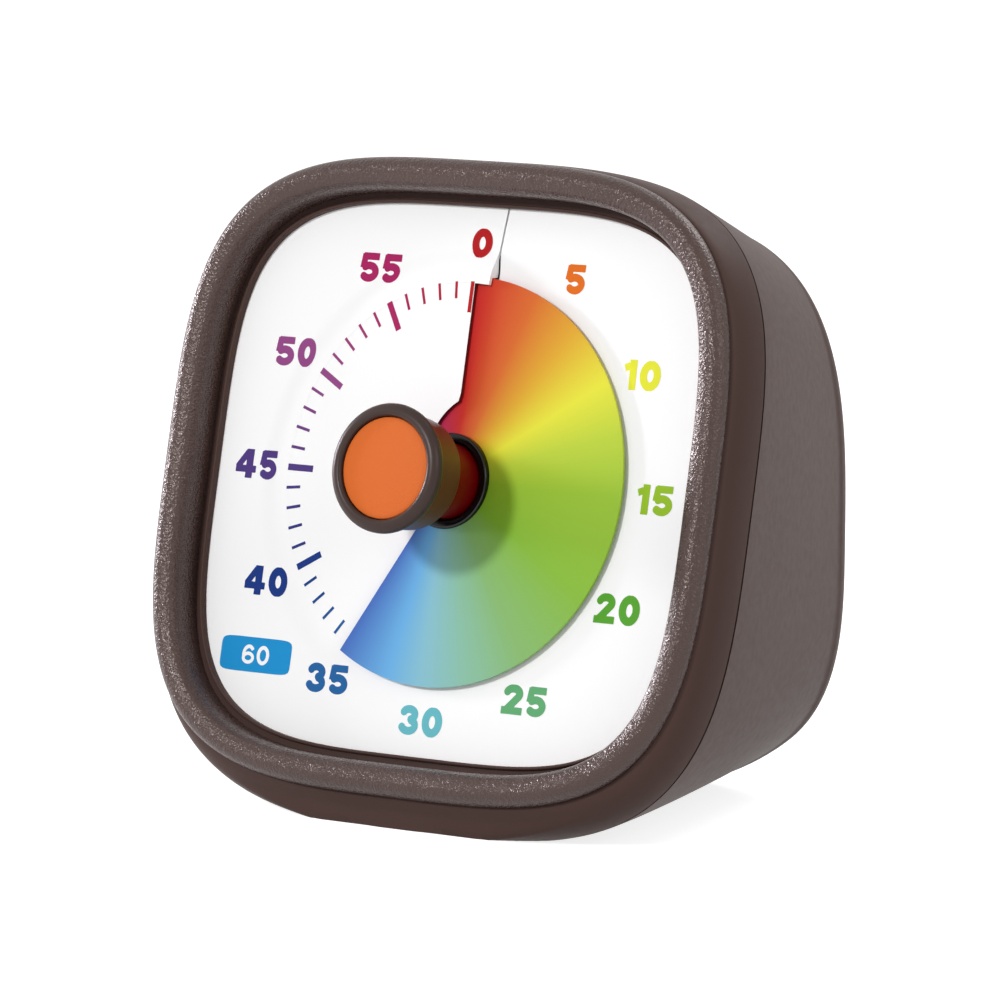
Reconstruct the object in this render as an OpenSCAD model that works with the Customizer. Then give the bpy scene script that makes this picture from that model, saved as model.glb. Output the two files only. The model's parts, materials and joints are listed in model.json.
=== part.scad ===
// Visual countdown timer: a leaning rounded-square housing, a white dial with a radial slot,
// a coloured disc that winds out through the slot, and a knob on the spindle of a quartz works.
// Lengths are millimetres. The base rests on z = 0 and the dial faces -Y.

/* [Housing] */
// How far the dial leans back from the vertical, in degrees
lean = 12.1; // [6:0.1:18]
// Height of the dial's centre above the base
dial_z = 42.1; // [42:0.1:46]
// Half the width of the rim round the dial
rim_w = 41.4; // [40:0.1:45]
// Half the height of the rim round the dial
rim_v = 39.75; // [38:0.05:42]
// Squareness of the rim's outline, 2 is an ellipse
rim_p = 3.5; // [3:0.1:4.5]
// Half the width of the body at the seam
seam_w = 42.75; // [41:0.05:46]
// Height of the body above the dial's centre at the seam
seam_top = 40.25; // [39:0.05:43]
// Depth of the body below the dial's centre at the seam
seam_low = 43.3; // [41:0.1:44]
// Depth of the seam behind the face of the dial
seam_d = 2.4; // [1.4:0.05:3]
// Half the width of the rear of the body
rear_w = 31.9; // [30:0.1:36]
// Height of the rear above the dial's centre
rear_top = 38.6; // [37:0.1:40]
// Depth of the rear below the dial's centre
rear_low = 30.7; // [28:0.1:34]
// Depth of the rear section behind the dial, where the rounding to the back starts
rear_d = 40.5; // [36:0.1:46]
// Squareness of the rear section's outline
rear_p = 3.14; // [2.6:0.02:3.6]
// Rounding between the sides and the back
back_r = 5; // [3:0.1:6]
// Wall of the two housing shells
wall = 2; // [1.6:0.1:2.6]

/* [Rim and dial] */
// Width of the raised rim
rim_t = 4.25; // [3.6:0.05:5]
// Height of the rim's crest above the dial
rim_h = 5.6; // [4.6:0.1:7]
// Height of the groove between rim and front band
groove_h = 3.3; // [2.6:0.1:3.8]
// Thickness of the dial sheet
dial_t = 0.5; // [0.3:0.05:0.6]
// Radius of the dial's centre hole
dial_hole_r = 7.3; // [6.6:0.1:8]
// Radius of the turning disc
disc_r = 25.7; // [22:0.1:25.8]
// Thickness of the disc
disc_t = 0.35; // [0.2:0.05:0.4]
// Rise of disc and dial over one turn
pitch = 1.6; // [1.4:0.05:2]
// Position of the disc's leading edge as drawn, in minutes
set_min = 35; // [10:1:50]

/* [Knob] */
// Radius of the knob's rim
knob_r = 8.05; // [7:0.05:10]
// Radius of the knob's rear end
knob_rear_r = 7; // [6:0.05:8]
// Radius of the inset face
cap_r = 6.4; // [5:0.1:6.8]
// Height of the knob's rear end above the dial
knob_low = 8; // [6:0.1:9]
// Height of the knob's front above the dial
knob_top = 15; // [13:0.1:18]
// Radius of the red stem
stem_r = 4.7; // [4:0.05:4.9]
// Outer radius of the disc's black collar
hub_r = 6; // [5.8:0.05:6.2]
// Radius of the spindle
spindle_r = 1.5; // [1.2:0.05:2]

/* [Works] */
// Half the width of the works case
works_w = 21; // [20:0.1:24]
// Top of the works case above the spindle
works_top = 23; // [22.5:0.1:23.2]
// Bottom of the works case below the spindle
works_low = 15; // [14:0.1:15.4]
// Thickness of the works case, front to back
works_d = 14; // [13.6:0.1:15]
// Wall of the works case
works_wall = 1.4; // [1.1:0.1:1.6]
// Gear module
gear_m = 0.2; // [0.18:0.01:0.2]
// Leaves on each pinion
leaves = 8; // [8:1:10]
// Teeth of the second wheel
second_n = 80; // [72:2:80]
// Teeth of the third wheel
third_n = 96; // [88:2:96]
// Teeth of the centre wheel
centre_n = 120; // [108:2:120]
// Thickness of a wheel
wheel_t = 0.6; // [0.4:0.1:0.8]

/* [Battery and back] */
// Diameter of the AA cell
cell_d = 14.2; // [13.8:0.1:14.5]
// Length of the AA cell over its nub
cell_l = 50.2; // [49.5:0.1:50.5]
// Height of the cell's axis above the base
cell_z = 38; // [36:0.5:39]
// Wall of the battery tray
tray_wall = 1.2; // [1:0.1:1.6]
// Thickness of the battery door
door_t = 1.2; // [1:0.1:1.4]
// Travel of the volume slide to each side
slide_travel = 2; // [1.5:0.1:2.5]
// Diameter of a sound hole
sound_d = 1.6; // [1.2:0.1:2]
// Diameter of the case screws
screw_d = 2.6; // [2.2:0.1:3]

/* [Hidden] */

$fn = 48;
eps = 0.01;
run_fit = 0.03;      // radial clearance of a turning shaft
gap = 0.3;           // clearance between pieces that move past each other
seat = 0.15;         // clearance between pieces that are fitted together
brown = [0.25, 0.19, 0.17];
dark = [0.1, 0.08, 0.075];

around = 64;         // points round a housing section
step_a = 360 / around;
dial_y = -12;        // the dial's centre, so that the footprint lies about the origin
foot_sink = 1;       // how far a section would reach below the base before it is cut flat
foot_share = 0.76;   // share of the half width over which the underside swells to the foot
taper = 1.05;        // how late the body narrows towards the rear

ledge_o = 6.8;       // inward reach of the ledge that carries the dial, from the rim's outline
ledge_t = 1.6;
inner_o = wall + 0.2;
dial_o = 3.4;        // where the dial's edge lies, inward from the rim's outline
backer_rise = 0.5;
backer_o = 4.2;
backer_t = 1.6;
backer_top = -(dial_t + ledge_t + backer_rise);
backer_low = backer_top - backer_t;
works_front = backer_low;
works_back = works_front - works_d;
works_split = works_front - 6.8;
post_end = -20;
post_r = 3;
boss_r = 3.5;
screw_at = [[-14, 26.3], [14, 26.3], [-14, -18.5], [14, -18.5]];

disc_turn = 6 * set_min;
dial_flat_in = 26;   // the dial's rise fades out between these two radii
dial_flat_out = 29.5;
slot_top_r = 24.8;
slot_cut = 0.12;     // half the width of the cut from the slot to the dial's edge

// The back is vertical, so what sits on it is placed from its outer face.
back_y = dial_y + (rear_d + back_r) * cos(lean);
cell_y = back_y - wall - 1 - cell_d / 2;
bay_l = cell_l + 3;  // room for the cell and its two contacts
open_w = cell_l / 2 + 1.2;
open_h = cell_d / 2 + 0.9;
door_w = open_w + 0.9;
door_h = open_h + 0.9;
corner = 1.8;        // rounding at the corners of the door's recess
buzzer_r = 7.8;
buzzer_h = 4.6;
buzzer_z = 60.2;
switch_z = 49.9;
board_y = back_y - wall - 5.2;
board_t = 1.6;
board_low = 47.7;
board_top = 68.2;
board_w = 9.8;
board_post = [7.7, 49.8];

// Levels of the train, measured from the dial's face
centre_z = -13.4;
third_z = -11.2;
second_z = -9;
arbor_r = 0.5;
pivot = 1;           // how far an arbor runs into its bearing
third_at = polar_at(gear_m * (leaves + centre_n) / 2, 60);
second_at = third_at + polar_at(gear_m * (leaves + third_n) / 2, 175);
rotor_at = second_at + polar_at(gear_m * (leaves + second_n) / 2, 200);

function polar_at(r, a) = [r * cos(a), r * sin(a)];
function mix(a, b, u) = a + (b - a) * u;
function base_v(d) = (d * sin(lean) - dial_z) / cos(lean);

// Radius of a squared ellipse in direction a, its upper and lower halves of different height
function squared_r(a, w, top, low, p) =
    pow(pow(abs(cos(a)) / w, p) + pow(abs(sin(a)) / (sin(a) > 0 ? top : low), p), -1 / p);

// Lowest v of a section at depth d whose plane is tilted by turn, lift above the base
function bed_v(d, turn, lift) = (base_v(d) + lift / cos(lean)) / (1 + tan(lean) * tan(turn));

// How far the underside swells down so that a section just passes through the base
function foot_drop(low, d, turn) = max(0, foot_sink - bed_v(d, turn, 0) - low);

// One ring of points in the dial's frame, tilted by turn, its underside swelled by drop towards
// the middle and cut flat at the level bed
function ring(w, top, low, p, d, turn = 0, drop = 0, bed = -100) =
    [for (i = [0 : around - 1])
        let (a = i * step_a,
            r = squared_r(a, w, top, low, p),
            x = r * cos(a),
            swell = drop * pow(max(0, 1 - pow(x / (foot_share * w), 2)), 2),
            v = max(bed, r * sin(a) - (sin(a) < 0 ? swell : 0)))
        [x, v, -(d - v * tan(turn))]];

// Outline of the rim, moved inwards by o, at height h
function rim_ring(o, h) = ring(rim_w - o, rim_v - o, rim_v - o, rim_p + 0.093 * o, -h);

// Section of the body a share u of the way from seam to rear, moved inwards by o. The sections
// turn from the dial's plane to the vertical.
function body_ring(u, o = 0) =
    let (e = pow(u, taper), d = mix(seam_d, rear_d, u), low = mix(seam_low, rear_low, e))
    ring(mix(seam_w, rear_w, e) - o, mix(seam_top, rear_top, e) - o, low - o,
        mix(rim_p, rear_p, u), d, lean * u, foot_drop(low, d, lean * u), bed_v(d, lean * u, o));

// Rounding from the rear section to the back, a is 0 at the side and 90 on the back
function back_ring(a, o = 0) =
    let (r = back_r - o, in_by = o + r * (1 - cos(a)), d = rear_d + r * sin(a))
    ring(rear_w - in_by, rear_top - in_by, rear_low - in_by, rear_p, d, lean,
        foot_drop(rear_low, rear_d, lean), bed_v(d, lean, o));

// Band of the front frame, u is 0 at the groove and 1 at the seam
function band_ring(u) =
    let (e = sqrt(1 - pow(1 - u, 2)), lip = 0.35, d = mix(-groove_h, seam_d - seat, u),
        low = mix(rim_v - lip, seam_low, e))
    ring(mix(rim_w - lip, seam_w, e), mix(rim_v - lip, seam_top, e), low, rim_p, d, 0,
        u > 0.2 ? foot_drop(low, d, 0) : 0, bed_v(d, 0, 0));

// Joins rings of the same length. A loop closes on its first ring, otherwise both ends are capped.
module skin(rings, loop = false) {
    m = len(rings);
    n = len(rings[0]);
    last = loop ? m - 1 : m - 2;
    points = [for (r = rings) each r];
    sides = [for (j = [0 : last], i = [0 : n - 1])
        let (a = j * n + i, b = j * n + (i + 1) % n,
            c = ((j + 1) % m) * n + (i + 1) % n, e = ((j + 1) % m) * n + i)
        each [[a, b, c], [a, c, e]]];
    caps = loop ? [] : [[for (i = [n - 1 : -1 : 0]) i], [for (i = [0 : n - 1]) (m - 1) * n + i]];
    polyhedron(points, concat(sides, caps), convexity = 8);
}

// Places what is drawn with the dial as its ground plane
module on_dial() {
    translate([0, dial_y, dial_z]) rotate([90 - lean, 0, 0]) children();
}

module rod(r, z0, z1, at = [0, 0]) {
    translate([at[0], at[1], z0]) cylinder(r = r, h = z1 - z0);
}

module outline(o) {
    polygon([for (q = rim_ring(o, 0)) [q[0], q[1]]]);
}

module slab(o, z0, z1) {
    translate([0, 0, z0]) linear_extrude(z1 - z0) outline(o);
}

module rounded(x0, x1, y0, y1, r) {
    translate([x0 + r, y0]) square([x1 - x0 - 2 * r, y1 - y0]);
    translate([x0, y0 + r]) square([x1 - x0, y1 - y0 - 2 * r]);
    for (x = [x0 + r, x1 - r], y = [y0 + r, y1 - r]) translate([x, y]) circle(r);
}

// Block on the back: centred on x, between two heights and two depths in front of the back's face
module back_block(w, z0, z1, y0, y1, x = 0) {
    translate([x - w, back_y - y1, z0]) cube([2 * w, y1 - y0, z1 - z0]);
}

// The same with rounded corners
module back_plate(w, z0, z1, y0, y1, r) {
    translate([0, back_y - y0, 0]) rotate([90, 0, 0]) linear_extrude(y1 - y0) rounded(-w, w, z0, z1, r);
}

// Round bar along Y on the back, between two depths in front of the back's face
module back_rod(r, x, z, y0, y1) {
    translate([x, back_y - y0, z]) rotate([90, 0, 0]) cylinder(r = r, h = y1 - y0);
}

// ---- Housing ----

module front_frame() {
    color(brown) on_dial() skin(concat(
        [rim_ring(0.35, groove_h - seat)],
        [for (u = [0.04, 0.12, 0.25, 0.45, 0.7, 1]) band_ring(u)],
        [body_ring(0, wall + seat)],
        [body_ring(0.09, wall + seat), body_ring(0.09, wall + 1.4)],
        [rim_ring(inner_o + 1.4, -(dial_t + ledge_t)), rim_ring(ledge_o, -(dial_t + ledge_t))],
        [rim_ring(ledge_o, -dial_t), rim_ring(inner_o, -dial_t), rim_ring(inner_o, groove_h - seat)]),
        true);
}

module bezel_ring() {
    soft = 1.9;
    color(brown) on_dial() skin(concat(
        [rim_ring(inner_o + 0.1, 0.5), rim_ring(rim_t, 0.5)],
        [for (a = [0 : 20 : 60])
            rim_ring(rim_t - 1.6 * (1 - cos(a)) - 0.15, rim_h - 2.3 * (1 - sin(a)))],
        [for (a = [90 : -22.5 : 0]) rim_ring(soft * (1 - cos(a)), rim_h - soft * (1 - sin(a)))],
        [rim_ring(0.1, groove_h), rim_ring(inner_o + 0.1, groove_h - 0.05)]), true);
}

module dial_retainer() {
    lip_out = 4.9;
    lip_in = 5.35;
    color(dark) on_dial() skin([rim_ring(lip_in, 0), rim_ring(lip_in, 0.8),
        rim_ring(mix(lip_out, lip_in, 0.5), 1), rim_ring(lip_out, 0.85), rim_ring(lip_out, 0.5),
        rim_ring(dial_o, 0.5), rim_ring(dial_o, 0)], true);
}

// How much of the dial's rise is left at radius r
function rise(r) =
    let (u = min(1, max(0, (r - dial_flat_in) / (dial_flat_out - dial_flat_in))))
    1 - u * u * (3 - 2 * u);

// Angles clockwise from the top where the slot's right and left sides lie at radius r. The slot
// is a thin cut outside its top, and widens at the hole below its knee.
function slot_right(r) = 5.56 + (r > slot_top_r ? asin(slot_cut / r) : 0);
function slot_left(r) = r > slot_top_r ? 5.56 - asin(slot_cut / r)
    : r > 10 ? asin(0.2 / r) : -mix(24, 0, (r - dial_hole_r) / (10 - dial_hole_r));

module dial_plate() {
    steps = 60;
    radii = [dial_hole_r, 10, 17, slot_top_r - 1, slot_top_r + eps, dial_flat_in, 27.2, 28.4,
        dial_flat_out, 0];
    function edge_r(a) = squared_r(90 - a, rim_w - dial_o, rim_v - dial_o, rim_v - dial_o,
        rim_p + 0.093 * dial_o);
    function sheet(r0, side) = [for (i = [0 : steps])
        let (a = mix(slot_right(r0 > 0 ? r0 : rim_v), 360 + slot_left(r0 > 0 ? r0 : rim_v), i / steps),
            r = r0 > 0 ? r0 : edge_r(a),
            z = pitch * (a / 360 - 0.5) * rise(r))
        [r * sin(a), r * cos(a), z - side * dial_t]];
    top = [for (r = radii) sheet(r, 0)];
    low = [for (j = [len(radii) - 1 : -1 : 0]) sheet(radii[j], 1)];
    color("white") on_dial() strip(concat(top, low));
}

// Like a looped skin, but of open rows: the two ends of the rows are capped as well
module strip(rows) {
    m = len(rows);
    n = len(rows[0]);
    sides = [for (j = [0 : m - 1], i = [0 : n - 2])
        let (a = j * n + i, b = a + 1, c = ((j + 1) % m) * n + i + 1, e = ((j + 1) % m) * n + i)
        each [[a, c, b], [a, e, c]]];
    ends = [for (j = [0 : m / 2 - 2])
        let (k = m - 1 - j)
        each [[j * n, (k - 1) * n, (j + 1) * n], [j * n, k * n, (k - 1) * n],
            [j * n + n - 1, (j + 1) * n + n - 1, (k - 1) * n + n - 1],
            [j * n + n - 1, (k - 1) * n + n - 1, k * n + n - 1]]];
    polyhedron([for (r = rows) each r], concat(sides, ends), convexity = 8);
}

module dial_backer() {
    color([0.3, 0.3, 0.32]) on_dial() difference() {
        union() {
            slab(backer_o, backer_low, backer_top);
            difference() {
                slab(backer_o, backer_top - eps, backer_top + backer_rise);
                slab(ledge_o, backer_top, backer_top + backer_rise + eps);
            }
            for (q = screw_at) rod(post_r, post_end, backer_low + eps, q);
            for (s = [-1, 1]) rod(1.8, works_front - 3, backer_low + eps, [s * (works_w + 2.4), 0]);
        }
        rod(3 + seat, backer_low - 1, backer_top + 1);
        for (q = screw_at) rod(screw_d / 2 - 0.2, post_end - 1, -8, q);
        for (s = [-1, 1]) rod(0.8, works_front - 4, backer_low - 0.6, [s * (works_w + 2.4), 0]);
    }
}

module rear_shell() {
    outer = [for (u = [0, 0.1, 0.25, 0.45, 0.7, 1]) body_ring(u == 0 ? 0.006 : u)];
    inner = [for (u = [1, 0.6, 0.25, 0]) body_ring(u == 0 ? 0.006 : u, wall)];
    skin(concat([back_ring(90, wall), back_ring(50, wall)], inner, outer,
        [for (a = [22.5 : 22.5 : 90]) back_ring(a)]));
}

module rear_housing() {
    color(brown) difference() {
        union() {
            on_dial() rear_shell();
            intersection() {
                on_dial() for (q = screw_at) rod(boss_r, -(rear_d + 14), post_end - gap, q);
                back_block(rear_w, 0, 100, 0.6, 40);
            }
            for (s = [-1, 1]) back_rod(1.7, s * board_post[0], board_post[1], wall - 1, back_y - board_y);
        }
        on_dial() for (q = screw_at) {
            rod(screw_d / 2 + 0.2, -(rear_d + 20), 0, q);
            rod(screw_d / 2 + 1.3, -(rear_d + 20), post_end - gap - 2.2, q);
        }
        back_block(open_w, cell_z - open_h, cell_z + open_h, -1, wall + 1);
        back_plate(door_w, cell_z - door_h, cell_z + door_h, -1, door_t, corner);
        back_block(slide_travel + 2.2, switch_z - 1.3, switch_z + 1.3, -1, wall + 1);
        for (q = sound_holes) back_rod(sound_d / 2, q[0], buzzer_z + q[1], -1, wall + 1);
        for (s = [-1, 1]) back_rod(0.7, s * board_post[0], board_post[1], wall + 0.6, 12);
    }
}

sound_holes = concat([[0, 0]], [for (a = [0 : 60 : 300]) polar_at(3.2, a)],
    [for (a = [30 : 60 : 330]) polar_at(5.6, a)]);

// Pan-head screw with its tip at z = 0 and its head at length l
module screw(d, l) {
    cylinder(d = d, h = l + eps);
    difference() {
        translate([0, 0, l]) cylinder(d1 = 2 * d, d2 = 1.5 * d, h = 0.6 * d);
        translate([0, 0, l + 0.3 * d]) for (a = [0, 90])
            rotate(a) translate([-0.65 * d, -0.15 * d, 0]) cube([1.3 * d, 0.3 * d, d]);
    }
}

module case_screws() {
    tip = -12;
    color("silver") on_dial() for (q = screw_at)
        translate([q[0], q[1], tip]) mirror([0, 0, 1])
            screw(screw_d - 0.5, tip - (post_end - gap - 2.2));
}

// ---- Quartz works ----

module works_box(z0, z1) {
    translate([0, 0, z0]) linear_extrude(z1 - z0)
        rounded(-works_w, works_w, -works_low, works_top, 3);
}

module works_room(z0, z1) {
    translate([0, 0, z0]) linear_extrude(z1 - z0) rounded(works_wall - works_w, works_w - works_wall,
        works_wall - works_low, works_top - works_wall, 2);
}

module bearings(z0, z1) {
    for (q = [third_at, second_at, rotor_at]) rod(arbor_r + run_fit, z0, z1, q);
}

module works_case_front() {
    floor_z = works_front - works_wall;
    color([0.85, 0.85, 0.8]) on_dial() difference() {
        union() {
            works_box(works_split, works_front);
            for (s = [-1, 1]) rod(2.6, works_front - 4.6, works_front - 3, [s * (works_w + 2.4), 0]);
            for (s = [-1, 1]) translate([s * (works_w + 1) - 1.4, -2, works_front - 4.6]) cube([2.8, 4, 1.6]);
        }
        difference() {
            works_room(works_split - 1, floor_z);
            for (q = [third_at, second_at, rotor_at]) rod(1.4, floor_z - 0.8, floor_z + 1, q);
        }
        rod(3, works_split, works_front + 1);
        bearings(floor_z - 1, floor_z - 0.8 + pivot + 0.2);
        for (s = [-1, 1]) rod(1.2, works_front - 6, works_front, [s * (works_w + 2.4), 0]);
    }
}

module works_case_rear() {
    floor_z = works_back + works_wall;
    color([0.85, 0.85, 0.8]) on_dial() difference() {
        works_box(works_back, works_split);
        difference() {
            works_room(floor_z, works_split + 1);
            for (q = [third_at, second_at, rotor_at]) rod(1.4, floor_z - 1, floor_z + 0.8, q);
            rod(3, floor_z - 1, floor_z + 0.6);
        }
        rod(spindle_r + run_fit, works_back - 1, floor_z + 2);
        bearings(floor_z + 0.6 - pivot, floor_z + 2);
    }
}

module works_screws() {
    color("silver") on_dial() for (s = [-1, 1])
        translate([s * (works_w + 2.4), 0, works_front - 2]) mirror([0, 0, 1]) screw(1.5, 2.6);
}

module centre_bush() {
    color([0.8, 0.65, 0.3]) on_dial() difference() {
        union() {
            rod(3, works_front - works_wall, backer_top - 0.1);
            rod(4.4, works_front - works_wall - 0.8, works_front - works_wall);
        }
        rod(spindle_r + run_fit, works_front - 4, backer_top + 1);
    }
}

stator_z = -15.6;
coil_at = [-15.6, -4.4];

module stator() {
    color([0.6, 0.6, 0.62]) on_dial() translate([0, 0, stator_z]) linear_extrude(1) difference() {
        union() {
            translate(rotor_at) circle(5);
            translate([-19, -12]) square([4.6, 22]);
            translate([-19, -12]) square([9, 3]);
        }
        translate(rotor_at) circle(3.3);
    }
}

module coil() {
    color([0.75, 0.4, 0.15]) on_dial() translate([coil_at[0], coil_at[1], stator_z + 4.3])
        rotate([90, 0, 0]) rotate_extrude()
            polygon([[1, -6], [3.2, -6], [3.2, -5.2], [2.8, -5.2], [2.8, 5.2], [3.2, 5.2], [3.2, 6],
                [1, 6]]);
}

// Toothed disc with straight-flanked, well relieved teeth. turn points a tooth at an angle.
module gear2d(n, turn = 0) {
    pr = gear_m * n / 2;
    top = pr + 0.6 * gear_m;
    root = pr - 0.85 * gear_m;
    pitch_a = 360 / n;
    polygon([for (i = [0 : n - 1]) each
        [for (q = [[root, -0.22], [top, -0.1], [top, 0.1], [root, 0.22]])
            polar_at(q[0], turn + (i + q[1]) * pitch_a)]]);
}

// Angle that puts a gap of an n-toothed wheel on the line towards a, where a tooth of its
// partner points back
function gap_at(n, a) = a + 180 / n;

// Wheel and pinion on one arbor. The wheel's gap faces the driver, the pinion's tooth its wheel.
module wheel_set(at, n, from_a, wheel_z, to_a, pinion_low, pinion_top) {
    translate([at[0], at[1], 0]) {
        difference() {
            translate([0, 0, wheel_z]) linear_extrude(wheel_t) gear2d(n, gap_at(n, from_a));
            for (a = [0 : 72 : 288]) rod(gear_m * n / 11, wheel_z - 1, wheel_z + 1, polar_at(gear_m * n / 3.4, a + 20));
        }
        translate([0, 0, pinion_low]) linear_extrude(pinion_top - pinion_low) gear2d(leaves, to_a);
        rod(arbor_r, works_back + works_wall + 0.6 - pivot + 0.2, works_front - works_wall - 0.8 + pivot);
    }
}

module rotor() {
    color([0.3, 0.3, 0.35]) on_dial() translate([rotor_at[0], rotor_at[1], 0]) {
        rod(2.8, -15.7, -12.4);
        translate([0, 0, second_z - 0.4]) linear_extrude(wheel_t + 0.8) gear2d(leaves, 20);
        rod(arbor_r, works_back + works_wall + 0.6 - pivot + 0.2, works_front - works_wall - 0.8 + pivot);
    }
}

module second_wheel() {
    color([0.9, 0.9, 0.85]) on_dial()
        wheel_set(second_at, second_n, 200, second_z, 355, third_z - 0.3, second_z);
}

module third_wheel() {
    color([0.9, 0.9, 0.85]) on_dial()
        wheel_set(third_at, third_n, 175, third_z, 240, centre_z - 0.3, third_z);
}

module centre_wheel() {
    color([0.8, 0.65, 0.3]) on_dial() difference() {
        translate([0, 0, centre_z]) linear_extrude(wheel_t) gear2d(centre_n, gap_at(centre_n, 60));
        rod(spindle_r + run_fit, centre_z - 1, centre_z + 2);
        for (a = [0 : 60 : 300]) rod(2, centre_z - 1, centre_z + 1, polar_at(7.4, a));
    }
}

clutch_top = centre_z + wheel_t + 0.1;

module spindle_shaft() {
    color([0.75, 0.75, 0.78]) on_dial() {
        rod(spindle_r, works_back + 0.3, knob_top - 3);
        rod(4.2, clutch_top, clutch_top + 0.6);
    }
}

module clutch_spring() {
    color("silver") on_dial() translate([0, 0, centre_z - 0.9]) rotate_extrude()
        polygon([[spindle_r, 0], [2.6, 0], [4, 0.6], [4, 0.8], [2.5, 0.2], [spindle_r, 0.2]]);
}

module alarm_cam() {
    cam_r = 5;
    color([0.85, 0.85, 0.8]) on_dial() difference() {
        rod(cam_r, centre_z - 1.9, centre_z - 0.9);
        rod(spindle_r, centre_z - 3, centre_z);
        rotate(-disc_turn + 90) translate([cam_r - 0.8, 0, centre_z - 3]) cylinder(r = 1, h = 4);
    }
}

module leaf_contact() {
    leaf_x = 5 + gap;
    color([0.85, 0.7, 0.35]) on_dial() {
        translate([leaf_x, -9, centre_z - 1.8]) cube([0.3, 12, 0.8]);
        translate([leaf_x, -9.3, works_back + works_wall]) cube([2.4, 0.8, centre_z - 1 - works_back - works_wall]);
    }
}

// ---- Disc and knob ----

module rainbow_disc() {
    steps = 48;
    inner_r = hub_r - 0.05;
    function row(r, side) = [for (i = [0 : steps])
        let (a = mix(disc_turn - 359.5, disc_turn, i / steps))
        [r * sin(a), r * cos(a), pitch * a / 360 + disc_t * (0.5 - side)]];
    color("orange") on_dial()
        strip([row(inner_r, 0), row(disc_r, 0), row(disc_r, 1), row(inner_r, 1)]);
}

module disc_hub() {
    hub_low = pitch * (disc_turn - 360) / 360 - 0.4;
    hub_top = pitch * disc_turn / 360 + 0.4;
    color([0.03, 0.03, 0.03]) on_dial() difference() {
        rod(hub_r, hub_low, hub_top);
        rod(stem_r + gap, hub_low - 1, hub_top + 1);
    }
}

module knob_stem() {
    color([0.35, 0, 0]) on_dial() difference() {
        rod(stem_r, backer_top + gap, knob_low);
        rod(spindle_r, backer_top, knob_low + 1);
    }
}

module knob() {
    bead = 1.1;
    color(brown) on_dial() difference() {
        rotate_extrude($fn = 72) polygon(concat(
            [[0, knob_low], [knob_rear_r - 0.5, knob_low], [knob_rear_r, knob_low + 0.5],
                [knob_r - 0.6, knob_top - 2.4 * bead]],
            [for (a = [-60 : 20 : 90])
                [knob_r - bead * (1 - cos(a)), knob_top - bead * (1 - sin(a))]],
            [for (a = [60 : -30 : 0])
                [cap_r + 0.5 * (1 - cos(a)), knob_top - 0.5 * (1 - sin(a))]],
            [[cap_r, knob_top - 1.6], [0, knob_top - 1.6]]));
        rod(spindle_r, knob_low - 1, knob_top - 3);
    }
}

module knob_cap() {
    color([0.9, 0.45, 0.2]) on_dial() rotate_extrude($fn = 72)
        polygon([[0, knob_top - 1.6], [cap_r - 0.1, knob_top - 1.6], [cap_r - 0.1, knob_top - 0.75],
            [cap_r - 0.3, knob_top - 0.55], [0, knob_top - 0.5]]);
}

// ---- Battery, board and back ----

module battery_tray() {
    half = bay_l / 2;
    clear = cell_d / 2 + 0.4;
    front = back_y - cell_y + clear;       // depth of the bay behind the back's face
    neck = wall + 2;
    lip = 0.3;
    tray_lap = 0.8;                        // tray wall left round the neck
    color(dark) difference() {
        union() {
            back_block(half + tray_wall, cell_z - clear - tray_wall, cell_z + clear + tray_wall,
                neck, front + tray_wall);
            back_block(open_w + lip, cell_z - open_h - lip, cell_z + open_h + lip, wall, neck + eps);
        }
        back_block(half, cell_z - clear, cell_z + clear, neck + tray_lap, front);
        back_block(open_w, cell_z - clear, cell_z + clear, wall - 1, neck + 1);
    }
}

module negative_spring() {
    turns = 3.5;
    sides = 6;
    steps = 42;
    wire = 0.35;
    x0 = -bay_l / 2 + wire + 0.1;
    x1 = -cell_l / 2 - 0.2 - wire;
    color("silver") translate([0, cell_y, cell_z]) skin([for (k = [0 : steps])
        let (u = k / steps, a = 360 * turns * u, r = mix(4.6, 2.4, u), x = mix(x0, x1, u))
        [for (s = [0 : sides - 1])
            let (b = 360 * s / sides, q = r + wire * cos(b))
            [x + wire * sin(b), q * cos(a), q * sin(a)]]]);
}

module positive_contact() {
    color("silver") translate([bay_l / 2 - 0.4, cell_y - 4, cell_z - 5]) cube([0.4, 8, 10]);
}

module battery() {
    nub = 1;
    half = cell_l / 2;
    color([0.2, 0.25, 0.3]) translate([0.2, cell_y, cell_z]) rotate([0, 90, 0])
        rotate_extrude() polygon([[0, -half], [cell_d / 2 - 0.6, -half], [cell_d / 2, -half + 0.6],
            [cell_d / 2, half - nub - 0.6], [cell_d / 2 - 0.6, half - nub], [2.7, half - nub],
            [2.7, half - 0.2], [2.5, half], [0, half]]);
}

module battery_door() {
    plate_w = door_w - 0.2;
    plate_h = door_h - 0.2;
    tongue = 4;
    color(brown) difference() {
        union() {
            back_plate(plate_w, cell_z - plate_h, cell_z + plate_h, 0, door_t - 0.05, corner - 0.2);
            for (s = [-1, 1]) back_block(1.5, cell_z - open_h + 0.2, cell_z + open_h - 0.2,
                door_t - 0.1, wall, s * 16);
        }
        for (k = [0 : 3]) back_block(tongue, cell_z + plate_h - 2.2 - 1.3 * k,
            cell_z + plate_h - 1.5 - 1.3 * k, -1, 0.4);
    }
}

module circuit_board() {
    color([0.1, 0.4, 0.2]) difference() {
        translate([-board_w, board_y - board_t, board_low])
            cube([2 * board_w, board_t, board_top - board_low]);
        for (s = [-1, 1]) back_rod(0.95, s * board_post[0], board_post[1], 0, 20);
    }
}

module board_screws() {
    color("silver") for (s = [-1, 1])
        translate([s * board_post[0], board_y + 2.4, board_post[1]]) rotate([90, 0, 0])
            screw(1.3, board_t + 2.4);
}

module chip() {
    color(dark) translate([-4, board_y - board_t - 1.4, 58]) cube([8, 1.4, 5]);
}

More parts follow.
